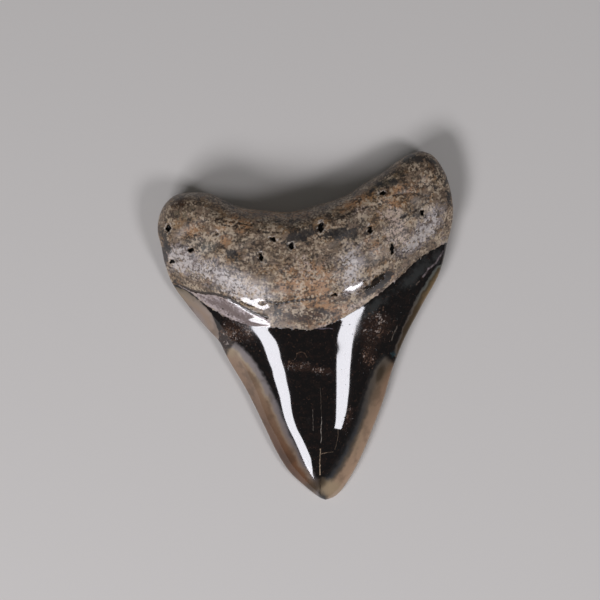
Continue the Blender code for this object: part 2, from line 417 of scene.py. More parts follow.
    def lingual_face(self, x: Array, y: Array, v: Array) -> Array:
        """Raise the domed face: outline height + crest * (1 - t^2) * (1 + fullness * t^2) + lip + waviness.

        t is the place across, from -1 to 1, moved by shift * (1 - t^2), which brings the crest left of the
        middle.

        Args:
            x: X of the places.
            y: Y of the places.
            v: the rows.

        Returns:
            The height of each place.
        """
        stations = np.array(self.crest_heights)
        crest = cubic(self.from_tip(stations[:, 0]), stations[:, 1], self.from_tip(y))
        across = self.place_across(x, y)
        across = across + self.crest_shift * (1.0 - across**2)
        dome = crest * np.maximum(1.0 - across**2, 0.0) * (1.0 + self.crest_fullness * across**2)
        lip = self.root_lip * smooth_step(0.0, self.lip_width, (v - 1.0) * self.root_length)
        wave = self.lump_height * self.lumps(x, y) * smooth_step(*self.lump_rows, v)
        return self.outline_height(v) + dome + lip + wave

    def labial_face(self, x: Array, y: Array, v: Array) -> Array:
        """Raise the flat face: a shallow blade, edge height * t^2, and a hollow between the resting places.

        Args:
            x: X of the places.
            y: Y of the places.
            v: the rows.

        Returns:
            The height of each place, below 0 where the face is cut off level.
        """
        blade = self.outline_height(np.minimum(v, 1.0)) - self.edge_radius
        blade = blade * np.minimum(self.place_across(x, y) ** 2, 1.0)
        (middle_x, middle_y), (reach_x, reach_y) = self.hollow_middle, self.hollow_reach
        across, up = (x - middle_x) / reach_x, (y - middle_y) / reach_y
        hollow = self.labial_hollow * np.exp(-(across**2) - up**2)
        rise = blade * (1.0 - smooth_step(*self.blade_end_rows, v)) + hollow - self.rest_depth
        return (rise + np.hypot(rise, self.rest_blend)) / 2.0 - self.rest_drop

    def sheet(self, u: Array, v: Array, lingual: bool) -> Array:
        """Find the points of one face: its height closed towards the outline by a quarter circle.

        Args:
            u: -1 at the left side and 1 at the right.
            v: 0 at the tip, 1 at the root line, 2 at the arch.
            lingual: the domed face if true, the flat one if not.

        Returns:
            X, Y and Z of each place.
        """
        x, y = np.moveaxis(self.plan(u, v, lingual), -1, 0)
        face = self.lingual_face(x, y, v) if lingual else self.labial_face(x, y, v)
        left, right = self.sides(v)
        half_width = np.linalg.norm(right - left, axis=-1) / 2.0
        on_root = smooth_step(*self.round_side_rows, v)
        radius = self.edge_radius + (self.root_side_radius - self.edge_radius) * on_root
        closing = quarter_round((1.0 - np.abs(u)) * half_width, radius)
        closing = closing * quarter_round((2.0 - v) * self.root_length, self.basal_radius)
        blunt = self.edge_radius * (1.0 - on_root) if lingual else 0.0
        middle = self.outline_height(v)
        z = middle + (face - middle + blunt) * closing
        return np.stack([x, y, np.maximum(z, 0.0)], axis=-1)


@dataclass
class Relief:
    """The small forms, in millimetres: nutrient holes, grooves, the dotted crack and a few leaning faces.

    hole_side, rim_outside and rim_inside are the reaches of a hole's patch between which its side falls away,
    and the ring round it, on which a highlight is painted, starts and ends. ragged_waves are radians a
    millimetre along X and Y. faces holds a patch and its slopes along X and Y.
    """

    hole_depth: float = 1.5
    hole_side: tuple[float, float] = (0.22, 0.72)
    rim_outside: tuple[float, float] = (0.02, 0.1)
    rim_inside: tuple[float, float] = (0.3, 0.45)
    holes: tuple[Patch, ...] = (
        Patch(3.8, 24.8, 0.7, 1.3), Patch(-3.6, 20.1, 0.75, 0.75), Patch(-8.1, 21.8, 0.9, 0.5, -20.0),
        Patch(-11.1, 17.4, 0.5, 1.1, 15.0), Patch(16.1, 24.3, 0.6, 1.0), Patch(21.7, 19.6, 0.5, 1.5),
        Patch(19.3, 33.5, 0.8, 0.5, 15.0), Patch(29.4, 28.7, 0.5, 0.8), Patch(-34.6, 24.9, 0.7, 0.9),
        Patch(-33.9, 16.6, 0.7, 0.6), Patch(-28.8, 19.2, 0.7, 0.6), Patch(-22.2, 23.3, 0.8, 0.8, 0.0, 0.5),
        Patch(7.2, 8.1, 1.0, 0.45, 0.0, 0.7),
    )
    ragged_mm: float = 0.16
    ragged_waves: tuple[tuple[float, float], tuple[float, float]] = ((1.7, 5.3), (4.9, -2.3))
    groove_depth: float = 0.22
    groove_width: float = 0.33
    striation_share: float = 0.4
    line_samples: int = 60
    bead_length: float = 1.15
    bead_middle: float = 0.75
    bead_swing: float = 0.45
    bead_stray: float = 1.5
    stray_wave: float = 0.9
    grooves: list[Points] = field(default_factory=lambda: [
        [(-33.6, 11.2), (-31.0, 9.8), (-26.9, 8.6), (-22.5, 8.1), (-19.0, 6.9), (-15.7, 4.9), (-12.3, 3.2),
         (-9.6, 2.4)],
        [(-33.4, 10.7), (-31.0, 9.0), (-28.0, 6.9), (-25.6, 5.0), (-23.6, 3.3)],
    ])
    striations: list[Points] = field(default_factory=lambda: [
        [(-22.5, 26.9), (-18.0, 26.0), (-13.5, 25.4)], [(-21.0, 25.5), (-17.5, 24.9), (-14.0, 24.2)],
        [(-8.2, 26.3), (-5.0, 26.2), (-1.5, 26.8)], [(-12.5, 23.8), (-8.5, 23.4), (-5.0, 23.6)],
        [(8.0, 27.0), (14.0, 29.5), (19.0, 30.8)], [(22.0, 33.0), (27.0, 33.6), (31.0, 32.6)],
        [(21.0, 26.0), (27.0, 29.0), (31.0, 31.5)],
    ])
    cracks: list[Points] = field(default_factory=lambda: [
        [(-9.8, 6.6), (-7.4, 5.9), (-3.6, 6.4), (-1.0, 6.7), (2.4, 7.1)],
    ])
    faces: tuple[tuple[Patch, float, float], ...] = (
        (Patch(-13.2, 6.2, 4.6, 1.9, -14.0), 0.0, -0.21),
        (Patch(11.8, 9.8, 3.4, 1.7, 12.0), 0.12, -0.19),
        (Patch(8.0, -28.0, 3.8, 3.4), 0.0, 0.075),
    )

    def hole_reach(self, x: Array, y: Array) -> Array:
        """Give the reach of the nutrient holes' patches at each place, swayed to make it ragged.

        Args:
            x: X of the places.
            y: Y of the places.

        Returns:
            The holes' reach at each place.
        """
        (x_by_x, x_by_y), (y_by_x, y_by_y) = self.ragged_waves
        swayed_x = x + self.ragged_mm * np.sin(x_by_x * x + x_by_y * y)
        swayed_y = y + self.ragged_mm * np.sin(y_by_x * x + y_by_y * y)
        return together(self.holes, swayed_x, swayed_y)

    def hole_share(self, x: Array, y: Array) -> Array:
        """Give how deep in a nutrient hole each place is: 0 outside and 1 at the bottom, with steep sides."""
        return smooth_step(*self.hole_side, self.hole_reach(x, y))

    def rim_share(self, x: Array, y: Array) -> Array:
        """Give where the rings round the nutrient holes lie, on which a highlight is painted: 1 on a ring and
        0 off it.
        """
        reach = self.hole_reach(x, y)
        return smooth_step(*self.rim_outside, reach) * (1.0 - smooth_step(*self.rim_inside, reach))

    def lean(self, x: Array, y: Array) -> Array:
        """Give the height that leans small faces another way: (slope x * dx + slope y * dy) * exp(-r^2)."""
        return sum(
            (slope_x * (x - patch.x) + slope_y * (y - patch.y)) * patch.reach(x, y)
            for patch, slope_x, slope_y in self.faces
        )

    def groove_share(self, x: Array, y: Array) -> Array:
        """Give how deep in a groove or crack each place is: exp(-(d/w)^2) of the distance d to the nearest.

        A crack is a row of pits: its share is multiplied by a sine of x, one bead long, that strays a little.

        Args:
            x: X of the places.
            y: Y of the places.

        Returns:
            0 away from them and 1 at the bottom of one.
        """
        stray = self.bead_stray * np.sin(self.stray_wave * x)
        beads = self.bead_middle + self.bead_swing * np.sin(2.0 * np.pi * x / self.bead_length + stray)
        grooves = [self.near(chain, x, y) for chain in self.grooves]
        grooves += [self.striation_share * self.near(chain, x, y) for chain in self.striations]
        cracks = [np.clip(beads, 0.0, 1.0) * self.near(chain, x, y) for chain in self.cracks]
        return np.max(grooves + cracks, axis=0)

    def near(self, chain: Points, x: Array, y: Array) -> Array:
        """Work out exp(-(d/w)^2) of the distance d to a smooth line through points.

        Args:
            chain: the line's points.
            x: X of the places.
            y: Y of the places.

        Returns:
            0 far from the line and 1 on it.
        """
        least = np.full(x.shape, np.inf)
        for px, py in along(chain, np.linspace(0.0, 1.0, self.line_samples)):
            least = np.minimum(least, np.hypot(x - px, y - py))
        return np.exp(-((least / self.groove_width) ** 2))


@dataclass(frozen=True)
class ClearWindow:
    """A clear place in the enamel at a cutting edge, and what shows in it, by the way from its inner side.

    inner is the inner side, which runs on past the window's ends, and first and last are the numbers of the
    points on it where the window starts and ends. outer closes the window. root_end and tip_end hold
    distances in millimetres and colours, and the one fades into the other from root_y to tip_y. soft is half
    the width over which the window fades into the black enamel.
    """

    name: str
    inner: Points
    first: int
    last: int
    outer: Points
    root_end: tuple[tuple[float, str], ...]
    tip_end: tuple[tuple[float, str], ...]
    root_y: float
    tip_y: float
    soft: float = 0.15


CLEAR_WINDOWS = (
    ClearWindow(
        "upper_left",
        [(-36.0, 10.4), (-33.0, 10.0), (-30.5, 9.2), (-28.2, 7.3), (-25.6, 5.2), (-23.9, 3.3), (-22.7, 0.6),
         (-22.1, -1.6), (-22.2, -3.6), (-22.0, -6.0)],
        0,
        8,
        [(-26.0, -4.6), (-40.0, 4.0)],
        ((0.0, "#6d604d"), (0.6, "#7e7160"), (1.6, "#8f7f6a"), (3.0, "#807263")),
        ((0.0, "#82766d"), (0.5, "#98877b"), (1.6, "#927d6b"), (3.2, "#8d807a")),
        9.0,
        3.5,
    ),
    ClearWindow(
        "lower_left",
        [(-22.5, 0.5), (-17.9, -4.0), (-16.0, -5.2), (-13.7, -7.8), (-11.9, -10.2), (-10.0, -13.6),
         (-8.0, -17.3), (-6.2, -21.1), (-4.7, -25.0), (-2.6, -29.4), (-0.4, -33.4), (1.6, -36.6),
         (3.0, -38.9), (3.75, -39.6), (3.75, -48.0)],
        1,
        14,
        [(0.0, -48.0), (-12.0, -40.0), (-34.0, -14.0), (-24.0, -7.0), (-20.4, -7.9)],
        ((0.0, "#5d5959"), (0.6, "#898281"), (1.5, "#948b87"), (2.0, "#a99882"), (2.6, "#98816b"),
         (4.4, "#937963")),
        ((0.0, "#333234"), (0.8, "#6c6361"), (1.7, "#7d6a5a"), (2.6, "#6a4c37"), (4.6, "#573a28")),
        -8.0,
        -33.0,
        0.42,
    ),
    ClearWindow(
        "lower_right",
        [(3.75, -48.0), (3.75, -39.6), (5.7, -38.0), (7.4, -35.7), (8.8, -33.1), (10.4, -30.0),
         (11.6, -27.2), (12.9, -23.9), (13.8, -20.9), (14.9, -17.2), (16.3, -13.0), (18.0, -9.6),
         (20.0, -7.3), (23.0, -4.0)],
        0,
        12,
        [(21.2, -8.6), (22.6, -9.6), (26.5, -9.5), (34.0, -20.0), (24.0, -48.0)],
        ((0.0, "#2e2c2b"), (0.7, "#5a5249"), (2.2, "#62564a"), (3.2, "#6f5c49"), (4.4, "#8d715a")),
        ((0.0, "#1f2021"), (1.0, "#3d3d3e"), (1.9, "#64584b"), (2.6, "#a38971"), (4.4, "#b0937a")),
        -12.0,
        -27.0,
        0.8,
    ),
    ClearWindow(
        "upper_right",
        [(36.0, 16.0), (33.4, 15.4), (31.0, 11.6), (28.7, 8.2), (27.2, 4.9), (25.6, 1.4), (24.1, -2.2),
         (22.9, -5.4), (22.4, -7.6), (21.8, -10.0)],
        0,
        8,
        [(26.0, -8.5), (40.0, 8.0)],
        ((0.0, "#484a47"), (0.4, "#65665e"), (0.8, "#4b402f"), (1.9, "#8a7351"), (2.8, "#a58a67")),
        ((0.0, "#393330"), (0.4, "#5f564d"), (0.8, "#473a2b"), (1.9, "#4e3f28"), (2.5, "#8b7251"),
         (3.4, "#aa8f6b")),
        11.0,
        4.0,
    ),
)


@dataclass
class Markings:
    """Where the fossil's colours lie, in millimetres: soft patches, some of which lay painted light, and the
    strip of smooth dentine.
    """

    patches: dict[str, tuple[Patch, ...]] = field(default_factory=lambda: {
        # pale: a paler root, partly a painted sheen of the long lamps, with painted highlights on the root's
        # lip
        "pale": (
            Patch(-23.1, 13.1, 13.0, 3.6, -23.0), Patch(-32.3, 17.4, 3.0, 3.5),
            Patch(11.4, 15.4, 3.6, 6.5, 0.0, 1.15), Patch(31.4, 26.2, 6.0, 3.0, 50.0),
            Patch(26.5, 20.5, 6.0, 2.0, 38.0), Patch(-14.0, 8.2, 6.0, 2.0, -12.0),
            Patch(11.6, 9.8, 2.6, 2.0, 0.0, 0.8), Patch(35.6, 20.6, 1.8, 2.6, 0.0, 0.8),
            Patch(20.5, 25.0, 3.0, 2.0, 0.0, 0.4),
        ),
        "warm": (
            Patch(0.0, 10.5, 8.0, 6.5), Patch(5.5, 2.8, 7.0, 2.4, 10.0, 0.9),
            Patch(24.0, 33.0, 7.0, 3.5, 30.0, 0.8), Patch(-17.0, 26.0, 9.0, 4.0, -10.0, 0.5),
            Patch(20.8, 12.8, 2.4, 1.4, 40.0, 0.9), Patch(-28.5, 24.0, 3.5, 2.5, 0.0, 0.6),
            Patch(-20.0, 20.5, 2.0, 3.0, 0.0, 0.5), Patch(-6.0, 28.8, 9.0, 1.6, -6.0, 0.9),
            Patch(12.0, 31.0, 6.0, 1.6, 25.0, 0.8), Patch(17.0, 20.0, 4.0, 3.0, 0.0, 0.5),
        ),
        # dark slate stains in the middle of the root, and painted shade along its outline at the arch and
        # lobes
        "stain": (
            Patch(-1.2, 22.8, 5.8, 2.2, 22.0, 1.1), Patch(9.6, 23.2, 5.2, 2.2, -3.0, 1.1),
            Patch(-18.0, 17.8, 1.7, 3.0, 20.0), Patch(-35.3, 20.7, 1.6, 4.5),
            Patch(36.3, 34.5, 1.3, 5.5, 0.0, 0.8), Patch(27.9, 42.4, 5.0, 1.8),
            Patch(17.0, 34.0, 6.0, 1.4, 32.0, 0.6), Patch(-19.8, 31.2, 5.5, 1.6, -28.0, 0.6),
            Patch(25.4, 28.4, 3.6, 1.5, 20.0, 0.8), Patch(-7.2, 3.7, 1.9, 2.1, 0.0, 0.9),
            Patch(-36.0, 13.5, 1.5, 3.5, 15.0, 0.8), Patch(22.6, 36.3, 4.0, 1.2, 25.0, 0.6),
            Patch(-26.5, 22.2, 1.6, 1.4, 0.0, 0.7),
        ),
        "green": (
            Patch(-24.5, 19.8, 3.0, 2.0, 10.0, 0.9), Patch(20.5, 36.5, 6.0, 1.6, 30.0, 0.9),
            Patch(-31.0, 28.5, 4.0, 3.5, 0.0, 0.6), Patch(14.5, 26.0, 3.0, 1.8, 0.0, 0.5),
        ),
        "polish": (
            Patch(-13.2, 6.1, 4.2, 1.5, -14.0, 1.6), Patch(11.8, 9.8, 3.2, 1.6, 12.0, 1.6),
            Patch(18.2, 12.0, 3.0, 1.3, 36.0, 0.9),
        ),
        "umber": (
            Patch(0.8, 2.9, 7.0, 2.1), Patch(6.0, 30.0, 10.0, 1.2, 25.0, 0.3),
            Patch(-10.0, 28.6, 9.0, 1.3, 0.0, 0.4), Patch(-31.5, 31.0, 4.0, 2.0, 30.0, 0.6),
            Patch(33.0, 40.0, 4.0, 3.0, 0.0, 0.5),
        ),
        "tan": (
            Patch(14.2, 5.6, 4.6, 1.1, 28.0), Patch(20.8, 10.0, 4.6, 0.9, 36.0, 0.9),
            Patch(5.5, 0.4, 4.0, 0.6, 12.0, 0.8), Patch(23.0, 23.0, 4.2, 2.4, 25.0, 0.9),
            Patch(21.5, 28.0, 3.6, 2.4, 0.0, 0.75), Patch(0.0, 14.5, 6.0, 4.5, 0.0, 0.5),
            Patch(14.0, 29.5, 6.0, 1.0, 27.0, 0.5),
        ),
        "wedge": (Patch(18.4, 11.1, 4.4, 1.3, 37.0, 2.2),),
        "milk": (
            Patch(6.4, -41.6, 3.4, 2.6), Patch(-18.9, -6.8, 1.6, 1.4, 0.0, 0.8),
            Patch(13.6, -29.5, 1.2, 5.0, -22.0, 0.5),
        ),
        "murk": (
            Patch(19.0, -12.2, 1.1, 3.0, -16.0), Patch(1.4, -41.4, 2.4, 2.6, 0.0, 0.8),
            Patch(4.2, -39.9, 1.8, 1.6, 0.0, 0.6),
        ),
        "teal": (Patch(22.5, -7.2, 0.7, 0.9),),
        # grey patches on the black enamel beside the highlight streaks: rougher enamel and a painted grey
        # sheen
        "haze": (
            Patch(-15.2, 0.0, 1.9, 4.2, 18.0, 0.9), Patch(13.2, 0.5, 1.2, 4.0, 0.0, 0.6),
            Patch(33.6, 17.6, 1.4, 2.0, 0.0, 0.7), Patch(-12.2, 4.0, 3.0, 1.5, -20.0, 0.8),
        ),
        # along the top edge of the smooth strip: pale, with a painted highlight of the left lamp
        "bright": (Patch(-15.8, 4.7, 6.0, 0.8, -25.0, 1.1), Patch(-11.0, 1.2, 2.2, 0.9, -25.0, 0.8)),
        # grey on the black enamel along the right of the root line: a painted faint sheen
        "slate": (
            Patch(16.8, 4.4, 5.5, 1.6, 38.0, 0.9), Patch(28.0, 13.4, 5.5, 2.0, 42.0, 0.9),
            Patch(33.6, 17.6, 1.6, 2.4, 0.0, 0.6),
        ),
        "speck": (
            Patch(-18.6, -1.0, 4.2, 4.0, 0.0, 1.3), Patch(17.7, 0.0, 6.5, 5.5, 20.0, 1.2),
            Patch(-2.6, -9.8, 4.2, 1.9, 0.0, 1.2), Patch(4.6, -11.4, 4.2, 1.5, -8.0, 1.2),
            Patch(16.0, -8.5, 3.0, 4.0, 0.0, 0.9), Patch(11.4, -22.5, 1.3, 3.4),
            Patch(9.8, -25.4, 1.3, 3.4, 0.0, 0.8), Patch(-20.8, -4.4, 2.0, 2.6),
            Patch(26.0, 7.6, 2.4, 4.0, -30.0, 0.6), Patch(-13.5, -3.0, 2.6, 3.4, 20.0, 0.7),
        ),
    })
    smooth_strip: Points = field(default_factory=lambda: [
        (-33.0, 10.9), (-29.3, 8.4), (-25.2, 5.3), (-19.3, 1.6), (-14.5, -0.8), (-9.2, -1.2), (-8.6, 0.8),
        (-9.6, 2.4), (-12.3, 3.2), (-15.7, 4.9), (-19.0, 6.9), (-22.5, 8.1), (-26.9, 8.6), (-31.0, 9.9),
    ])

    def fields(self, x: Array, y: Array) -> dict[str, Array]:
        """Work out every marking at some places.

        Args:
            x: X of the places.
            y: Y of the places.

        Returns:
            Each marking's values by its name: 0 outside to 1 inside for patches, and how far inside for the
            strip and the windows. A window's name with _depth has the distance from its inner side.
        """
        made = {name: together(patches, x, y) for name, patches in self.patches.items()}
        places = np.stack([x.ravel(), y.ravel()], axis=1)
        made["strip"] = signed_distance(places, np.array(self.smooth_strip)).reshape(x.shape)
        for window in CLEAR_WINDOWS:
            ring = window.inner[window.first : window.last + 1] + window.outer
            made[window.name] = signed_distance(places, np.array(ring)).reshape(x.shape)
            made[window.name + "_depth"] = chain_distance(places, np.array(window.inner)).reshape(x.shape)
        return made


@dataclass
class ToothSurface:
    """The tooth as one fine closed surface, with the attributes that its finish reads.

    Steps are in millimetres. On a row shorter than full_steps_length, the fine steps at its ends shrink.
    """

    form: ToothForm = field(default_factory=ToothForm)
    relief: Relief = field(default_factory=Relief)
    markings: Markings = field(default_factory=Markings)
    columns: int = 300
    crown_step: float = 0.72
    root_step: float = 0.26
    first_steps: tuple[float, ...] = (0.1, 0.25, 0.45)
    tip_steps: tuple[float, ...] = (0.12, 0.3, 0.55, 0.9, 1.35)
    full_steps_length: float = 6.0
    dense_rows: int = 1500
    dense_columns: int = 900
    line_samples: int = 160
    carved_from_row: float = 1.03
    uncarved_side: float = 0.1
    unwrap_gap: float = 0.004

    @staticmethod
    def spaced(curve: Array, distances: Array) -> Array:
        """Find the shares of a dense curve's own parameter at which distances along it fall."""
        lengths = chain_lengths(curve)
        return np.interp(distances, lengths, np.linspace(0.0, 1.0, len(curve)))

    def graded(self, length: float, count: int) -> Array:
        """Share a length out: three fine steps in from each end, and equal steps between them.

        Args:
            length: the length of the row.
            count: the number of steps in all.

        Returns:
            The distance from the start to each point.
        """
        fine = np.array((0.0, *self.first_steps)) * min(1.0, length / self.full_steps_length)
        middle = np.linspace(fine[-1], length - fine[-1], count - 2 * len(self.first_steps) + 1)
        return np.concatenate([fine[:-1], middle, length - fine[-2::-1]])

    def rows(self) -> Array:
        """Place the rows from tip to arch: fine at the tip, wide on the crown, close on the root.

        Returns:
            v of each row.
        """
        dense = np.linspace(0.0, 1.0, self.dense_rows)
        middle = np.zeros_like(dense)
        crown = self.form.sheet(middle, dense, True)
        crown_length = chain_lengths(crown)[-1]
        start = np.array((0.0, *self.tip_steps))
        steps = round((crown_length - start[-1]) / self.crown_step)
        even = np.linspace(start[-1], crown_length, steps + 1)
        on_crown = self.spaced(crown, np.concatenate([start[:-1], even]))
        root = self.form.sheet(middle, 1.0 + dense, True)
        root_length = chain_lengths(root)[-1]
        on_root = self.spaced(root, np.linspace(0.0, root_length, round(root_length / self.root_step) + 1))
        return np.concatenate([on_crown, 1.0 + on_root[1:]])

    def grid(self, rows: Array, lingual: bool, columns: int) -> tuple[Array, Array, Array]:
        """Work one sheet out over the grid, each row shared out by its own length.

        Args:
            rows: v of each row.
            lingual: the domed face if true, the flat one if not.
            columns: the number of steps across.

        Returns:
            The points, and u and v at each of them.
        """
        dense = np.linspace(-1.0, 1.0, self.dense_columns)
        u = np.empty((len(rows), columns + 1))
        for i, v in enumerate(rows):
            curve = self.form.sheet(dense, np.full_like(dense, v), lingual)
            distances = self.graded(chain_lengths(curve)[-1], self.columns)[:: self.columns // columns]
            u[i] = 2.0 * self.spaced(curve, distances) - 1.0
        u[:, 0], u[:, -1] = -1.0, 1.0
        v = np.repeat(rows[:, None], columns + 1, axis=1)
        return self.form.sheet(u, v, lingual), u, v

    def carve(self, points: Array, u: Array, v: Array) -> tuple[Array, Array, Array]:
        """Cut the small forms into the domed sheet, straight down.

        Args:
            points: the sheet's points.
            u: the places across.
            v: the rows.

        Returns:
            The carved points, and the shares of hole and groove at each.
        """
        x, y = points[..., 0], points[..., 1]
        on_root = smooth_step(1.0, self.carved_from_row, v)
        hole = self.relief.hole_share(x, y) * on_root
        groove = self.relief.groove_share(x, y) * on_root
        carved = points.copy()
        carved[..., 2] += self.relief.lean(x, y) * smooth_step(0.0, self.uncarved_side, 1.0 - np.abs(u))
        carved[..., 2] -= self.relief.hole_depth * hole + self.relief.groove_depth * groove
        return carved, hole, groove

    def build(self) -> bpy.types.Object:
        """Make the mesh: both sheets, the flat one with half the columns, welded along sides, tip and arch.

        Returns:
            The tooth, at the origin, with its place in its mesh.
        """
        rows = self.rows()
        top, top_u, top_v = self.grid(rows, True, self.columns)
        top, hole, groove = self.carve(top, top_u, top_v)
        under_columns = self.columns // 2
        under, under_u, under_v = self.grid(rows, False, under_columns)
        top_index = np.arange(top[..., 0].size).reshape(top.shape[:2])
        under_index = top_index.size + np.arange(under[..., 0].size).reshape(under.shape[:2])
        under_index[:, 0], under_index[:, -1] = top_index[:, 0], top_index[:, -1]
        under_index[-1] = top_index[-1, ::2]
        under_index[0], top_index[0] = top_index[0, 0], top_index[0, 0]
        quads = [self.quads(top_index), self.quads(under_index[:-1])[:, ::-1]]
        faces = [tuple(dict.fromkeys(quad)) for quad in np.concatenate(quads).tolist()]
        low, high = under_index[-2], top_index[-1]
        for i in range(under_columns):
            faces.append((low[i], high[2 * i], high[2 * i + 1], high[2 * i + 2], low[i + 1]))
        points = np.concatenate([top.reshape(-1, 3), under.reshape(-1, 3)]) * MM
        mesh = bpy.data.meshes.new("tooth_surface")
        mesh.from_pydata(points.tolist(), [], faces)
        log.info("tooth surface: %d points, %d faces", len(points), len(faces))
        self.write_attributes(mesh, (top, top_u, top_v, hole, groove), (under, under_u, under_v))
        self.unwrap(mesh, rows, top_index.size)
        self.drop_unused(mesh)
        mesh.shade_smooth()
        tooth = bpy.data.objects.new("tooth_surface", mesh)
        bpy.context.scene.collection.objects.link(tooth)
        return tooth

    @staticmethod
    def quads(index: Array) -> Array:
        """List the grid's cells as rows of four point numbers, counter-clockwise seen from above.

        Args:
            index: the number of the point at each row and column.

        Returns:
            The cells.
        """
        low, high = index[:-1], index[1:]
        corners = (low[:, :-1], low[:, 1:], high[:, 1:], high[:, :-1])
        return np.stack([corner.ravel() for corner in corners], axis=1)

    def unwrap(self, mesh: bpy.types.Mesh, rows: Array, top_count: int) -> None:
        """Lay the two sheets side by side for baking, by the shares of the columns and of the length.

        Each corner of a face takes its place from its own row and column. A corner on the flat sheet's shared
        border has the domed sheet's number, and takes its place across from that.

        Args:
            mesh: the tooth's mesh.
            rows: v of each row.
            top_count: the number of points of the domed sheet.
        """
        corners = np.empty(len(mesh.loops), np.int64)
        mesh.loops.foreach_get("vertex_index", corners)
        starts = np.empty(len(mesh.polygons), np.int64)
        mesh.polygons.foreach_get("loop_start", starts)
        sizes = np.empty(len(mesh.polygons), np.int64)
        mesh.polygons.foreach_get("loop_total", sizes)
        is_under = np.maximum.reduceat(corners, starts) >= top_count
        is_under = np.repeat(is_under, sizes)
        top_width, under_width = self.columns + 1, self.columns // 2 + 1
        on_top = corners < top_count
        row = np.where(on_top, corners // top_width, (corners - top_count) // under_width)
        column = np.where(on_top, corners % top_width / self.columns, (corners - top_count) % under_width)
        column = np.where(on_top, column, column / (self.columns // 2))
        middle = self.form.sheet(np.zeros_like(rows), rows, True)
        heights = chain_lengths(middle) / chain_lengths(middle)[-1]
        tip = np.repeat(np.minimum.reduceat(row, starts) == 0, sizes) & (row == 0)
        column = np.where(tip, 0.5, column)
        gap = self.unwrap_gap
        across = gap + column * (0.5 - 2.0 * gap) + 0.5 * is_under
        layer = mesh.uv_layers.new(name="OFBake")
        places = np.stack([across, gap + heights[row] * (1.0 - 2.0 * gap)], axis=1)
        layer.data.foreach_set("uv", places.ravel().astype(np.float32))

    @staticmethod
    def drop_unused(mesh: bpy.types.Mesh) -> None:
        """Delete the points that welding left without a face.

        Args:
            mesh: the tooth's mesh.
        """
        work = bmesh.new()
        work.from_mesh(mesh)
        bmesh.ops.delete(work, geom=[p for p in work.verts if not p.link_faces], context="VERTS")
        work.to_mesh(mesh)
        work.free()

    def write_attributes(
        self, mesh: bpy.types.Mesh, top: tuple[Array, ...], under: tuple[Array, ...]
    ) -> None:
        """Keep with each point what the finish reads there, one number for each attribute.

        Args:
            mesh: the tooth's mesh, with the domed sheet's points first.
            top: the domed sheet's points, places across, rows, hole shares and groove shares.
            under: the flat sheet's points, places across and rows.
        """
        points, u, v, hole, groove = top
        # the rings round the holes carry a painted highlight
        rim_highlight = self.relief.rim_share(points[..., 0], points[..., 1])
        upper = self.fields(points, u, v, True) | {"hole": hole, "groove": groove, "rim_highlight": rim_highlight}
        lower = self.fields(*under, False)
        nothing = np.zeros_like(under[1])
        for name, values in upper.items():
            layer = mesh.attributes.new(name, "FLOAT", "POINT")
            both = np.concatenate([values.ravel(), lower.get(name, nothing).ravel()])
            layer.data.foreach_set("value", both.astype(np.float32))

    def fields(self, points: Array, u: Array, v: Array, lingual: bool) -> dict[str, Array]:
        """Work out the attributes that both faces have.

        Args:
            points: the sheet's points.
            u: the places across.
            v: the rows.
            lingual: the domed face if true, the flat one if not.

        Returns:
            Each attribute's values by its name.
        """
        made = self.markings.fields(points[..., 0], points[..., 1])
        made["root_distance"] = self.root_distance(points, v, lingual)
        made["grain_up"] = (v - 1.0) * self.form.root_length
        made["lingual"] = np.full(v.shape, float(lingual))
        width = points[:, -1:, 0] - points[:, :1, 0]
        made["edge"] = (1.0 - np.abs(u)) * width / 2.0
        return made

    def root_distance(self, points: Array, v: Array, lingual: bool) -> Array:
        """Measure in plan from each point to its face's root line, positive on the root, in millimetres.

        Args:
            points: the sheet's points.
            v: the rows.
            lingual: the domed face if true, the flat one if not.

        Returns:
            The signed distance of each point.
        """
        least = np.full(v.shape, np.inf)
        for px, py in self.form.root_line(lingual, np.linspace(0.0, 1.0, self.line_samples)):
            least = np.minimum(least, np.hypot(points[..., 0] - px, points[..., 1] - py))
        return np.where(v > 1.0, least, -least)


class Pattern(Enum):
    """What a tint can lie in: clouds, clouds drawn out across the root, close grains, scattered dots."""

    CLOUDS = "clouds"
    FIBRES = "fibres"
    GRAINS = "grains"
    DOTS = "dots"


@dataclass(frozen=True)
class Tint:
    """A colour laid over those below it, where spread + ragged * (pattern - 0.5) passes from low to high.

    spread names the attribute that says where it lies, and is empty where it lies everywhere, at 0.5. size is
    the pattern's own size in millimetres.
    """

    colour: str
    spread: str
    pattern: Pattern
    size: float
    ragged: float
    low: float
    high: float
    strength: float = 1.0


@dataclass(frozen=True)
class Wander:
    """How something strays to either side: its bends' size in millimetres, its whole swing and its detail."""

    size: float
    swing: float
    detail: float = 4.0


@dataclass(frozen=True)
class Hairline:
    """A healed crack, a scratch, and once a pale line at the root's lip that is partly a painted highlight: a
    thin straight line between two places, in millimetres.
    """

    x0: float
    y0: float
    x1: float
    y1: float
    width: float
    colour: str
    strength: float = 1.0


def linear(colour: str) -> tuple[float, float, float, float]:
    """Turn an sRGB hex colour into linear light: c / 12.92 below 0.04045, ((c + 0.055) / 1.055)^2.4 above.

    Args:
        colour: six hex digits after a #.

    Returns:
        Red, green, blue and an alpha of 1.
    """
    parts = [int(colour[i : i + 2], 16) / 255.0 for i in (1, 3, 5)]
    lit = [c / 12.92 if c <= 0.04045 else ((c + 0.055) / 1.055) ** 2.4 for c in parts]
    return (*lit, 1.0)


def add_node(tree: Tree, kind: str, inputs: dict | None = None, **settings) -> bpy.types.Node:
    """Add a node with its settings, and fill its inputs with values or links.

    Args:
        tree: the tree that gets the node.
        kind: the node's type.
        inputs: a value or another node's output for each input, by name or number.
        settings: the node's own settings by name.

    Returns:
        The node.
    """
    node = tree.nodes.new(kind)
    for name, value in settings.items():
        setattr(node, name, value)
    for name, value in (inputs or {}).items():
        if isinstance(value, Socket):
            tree.links.new(value, node.inputs[name])
        else:
            node.inputs[name].default_value = value
    return node


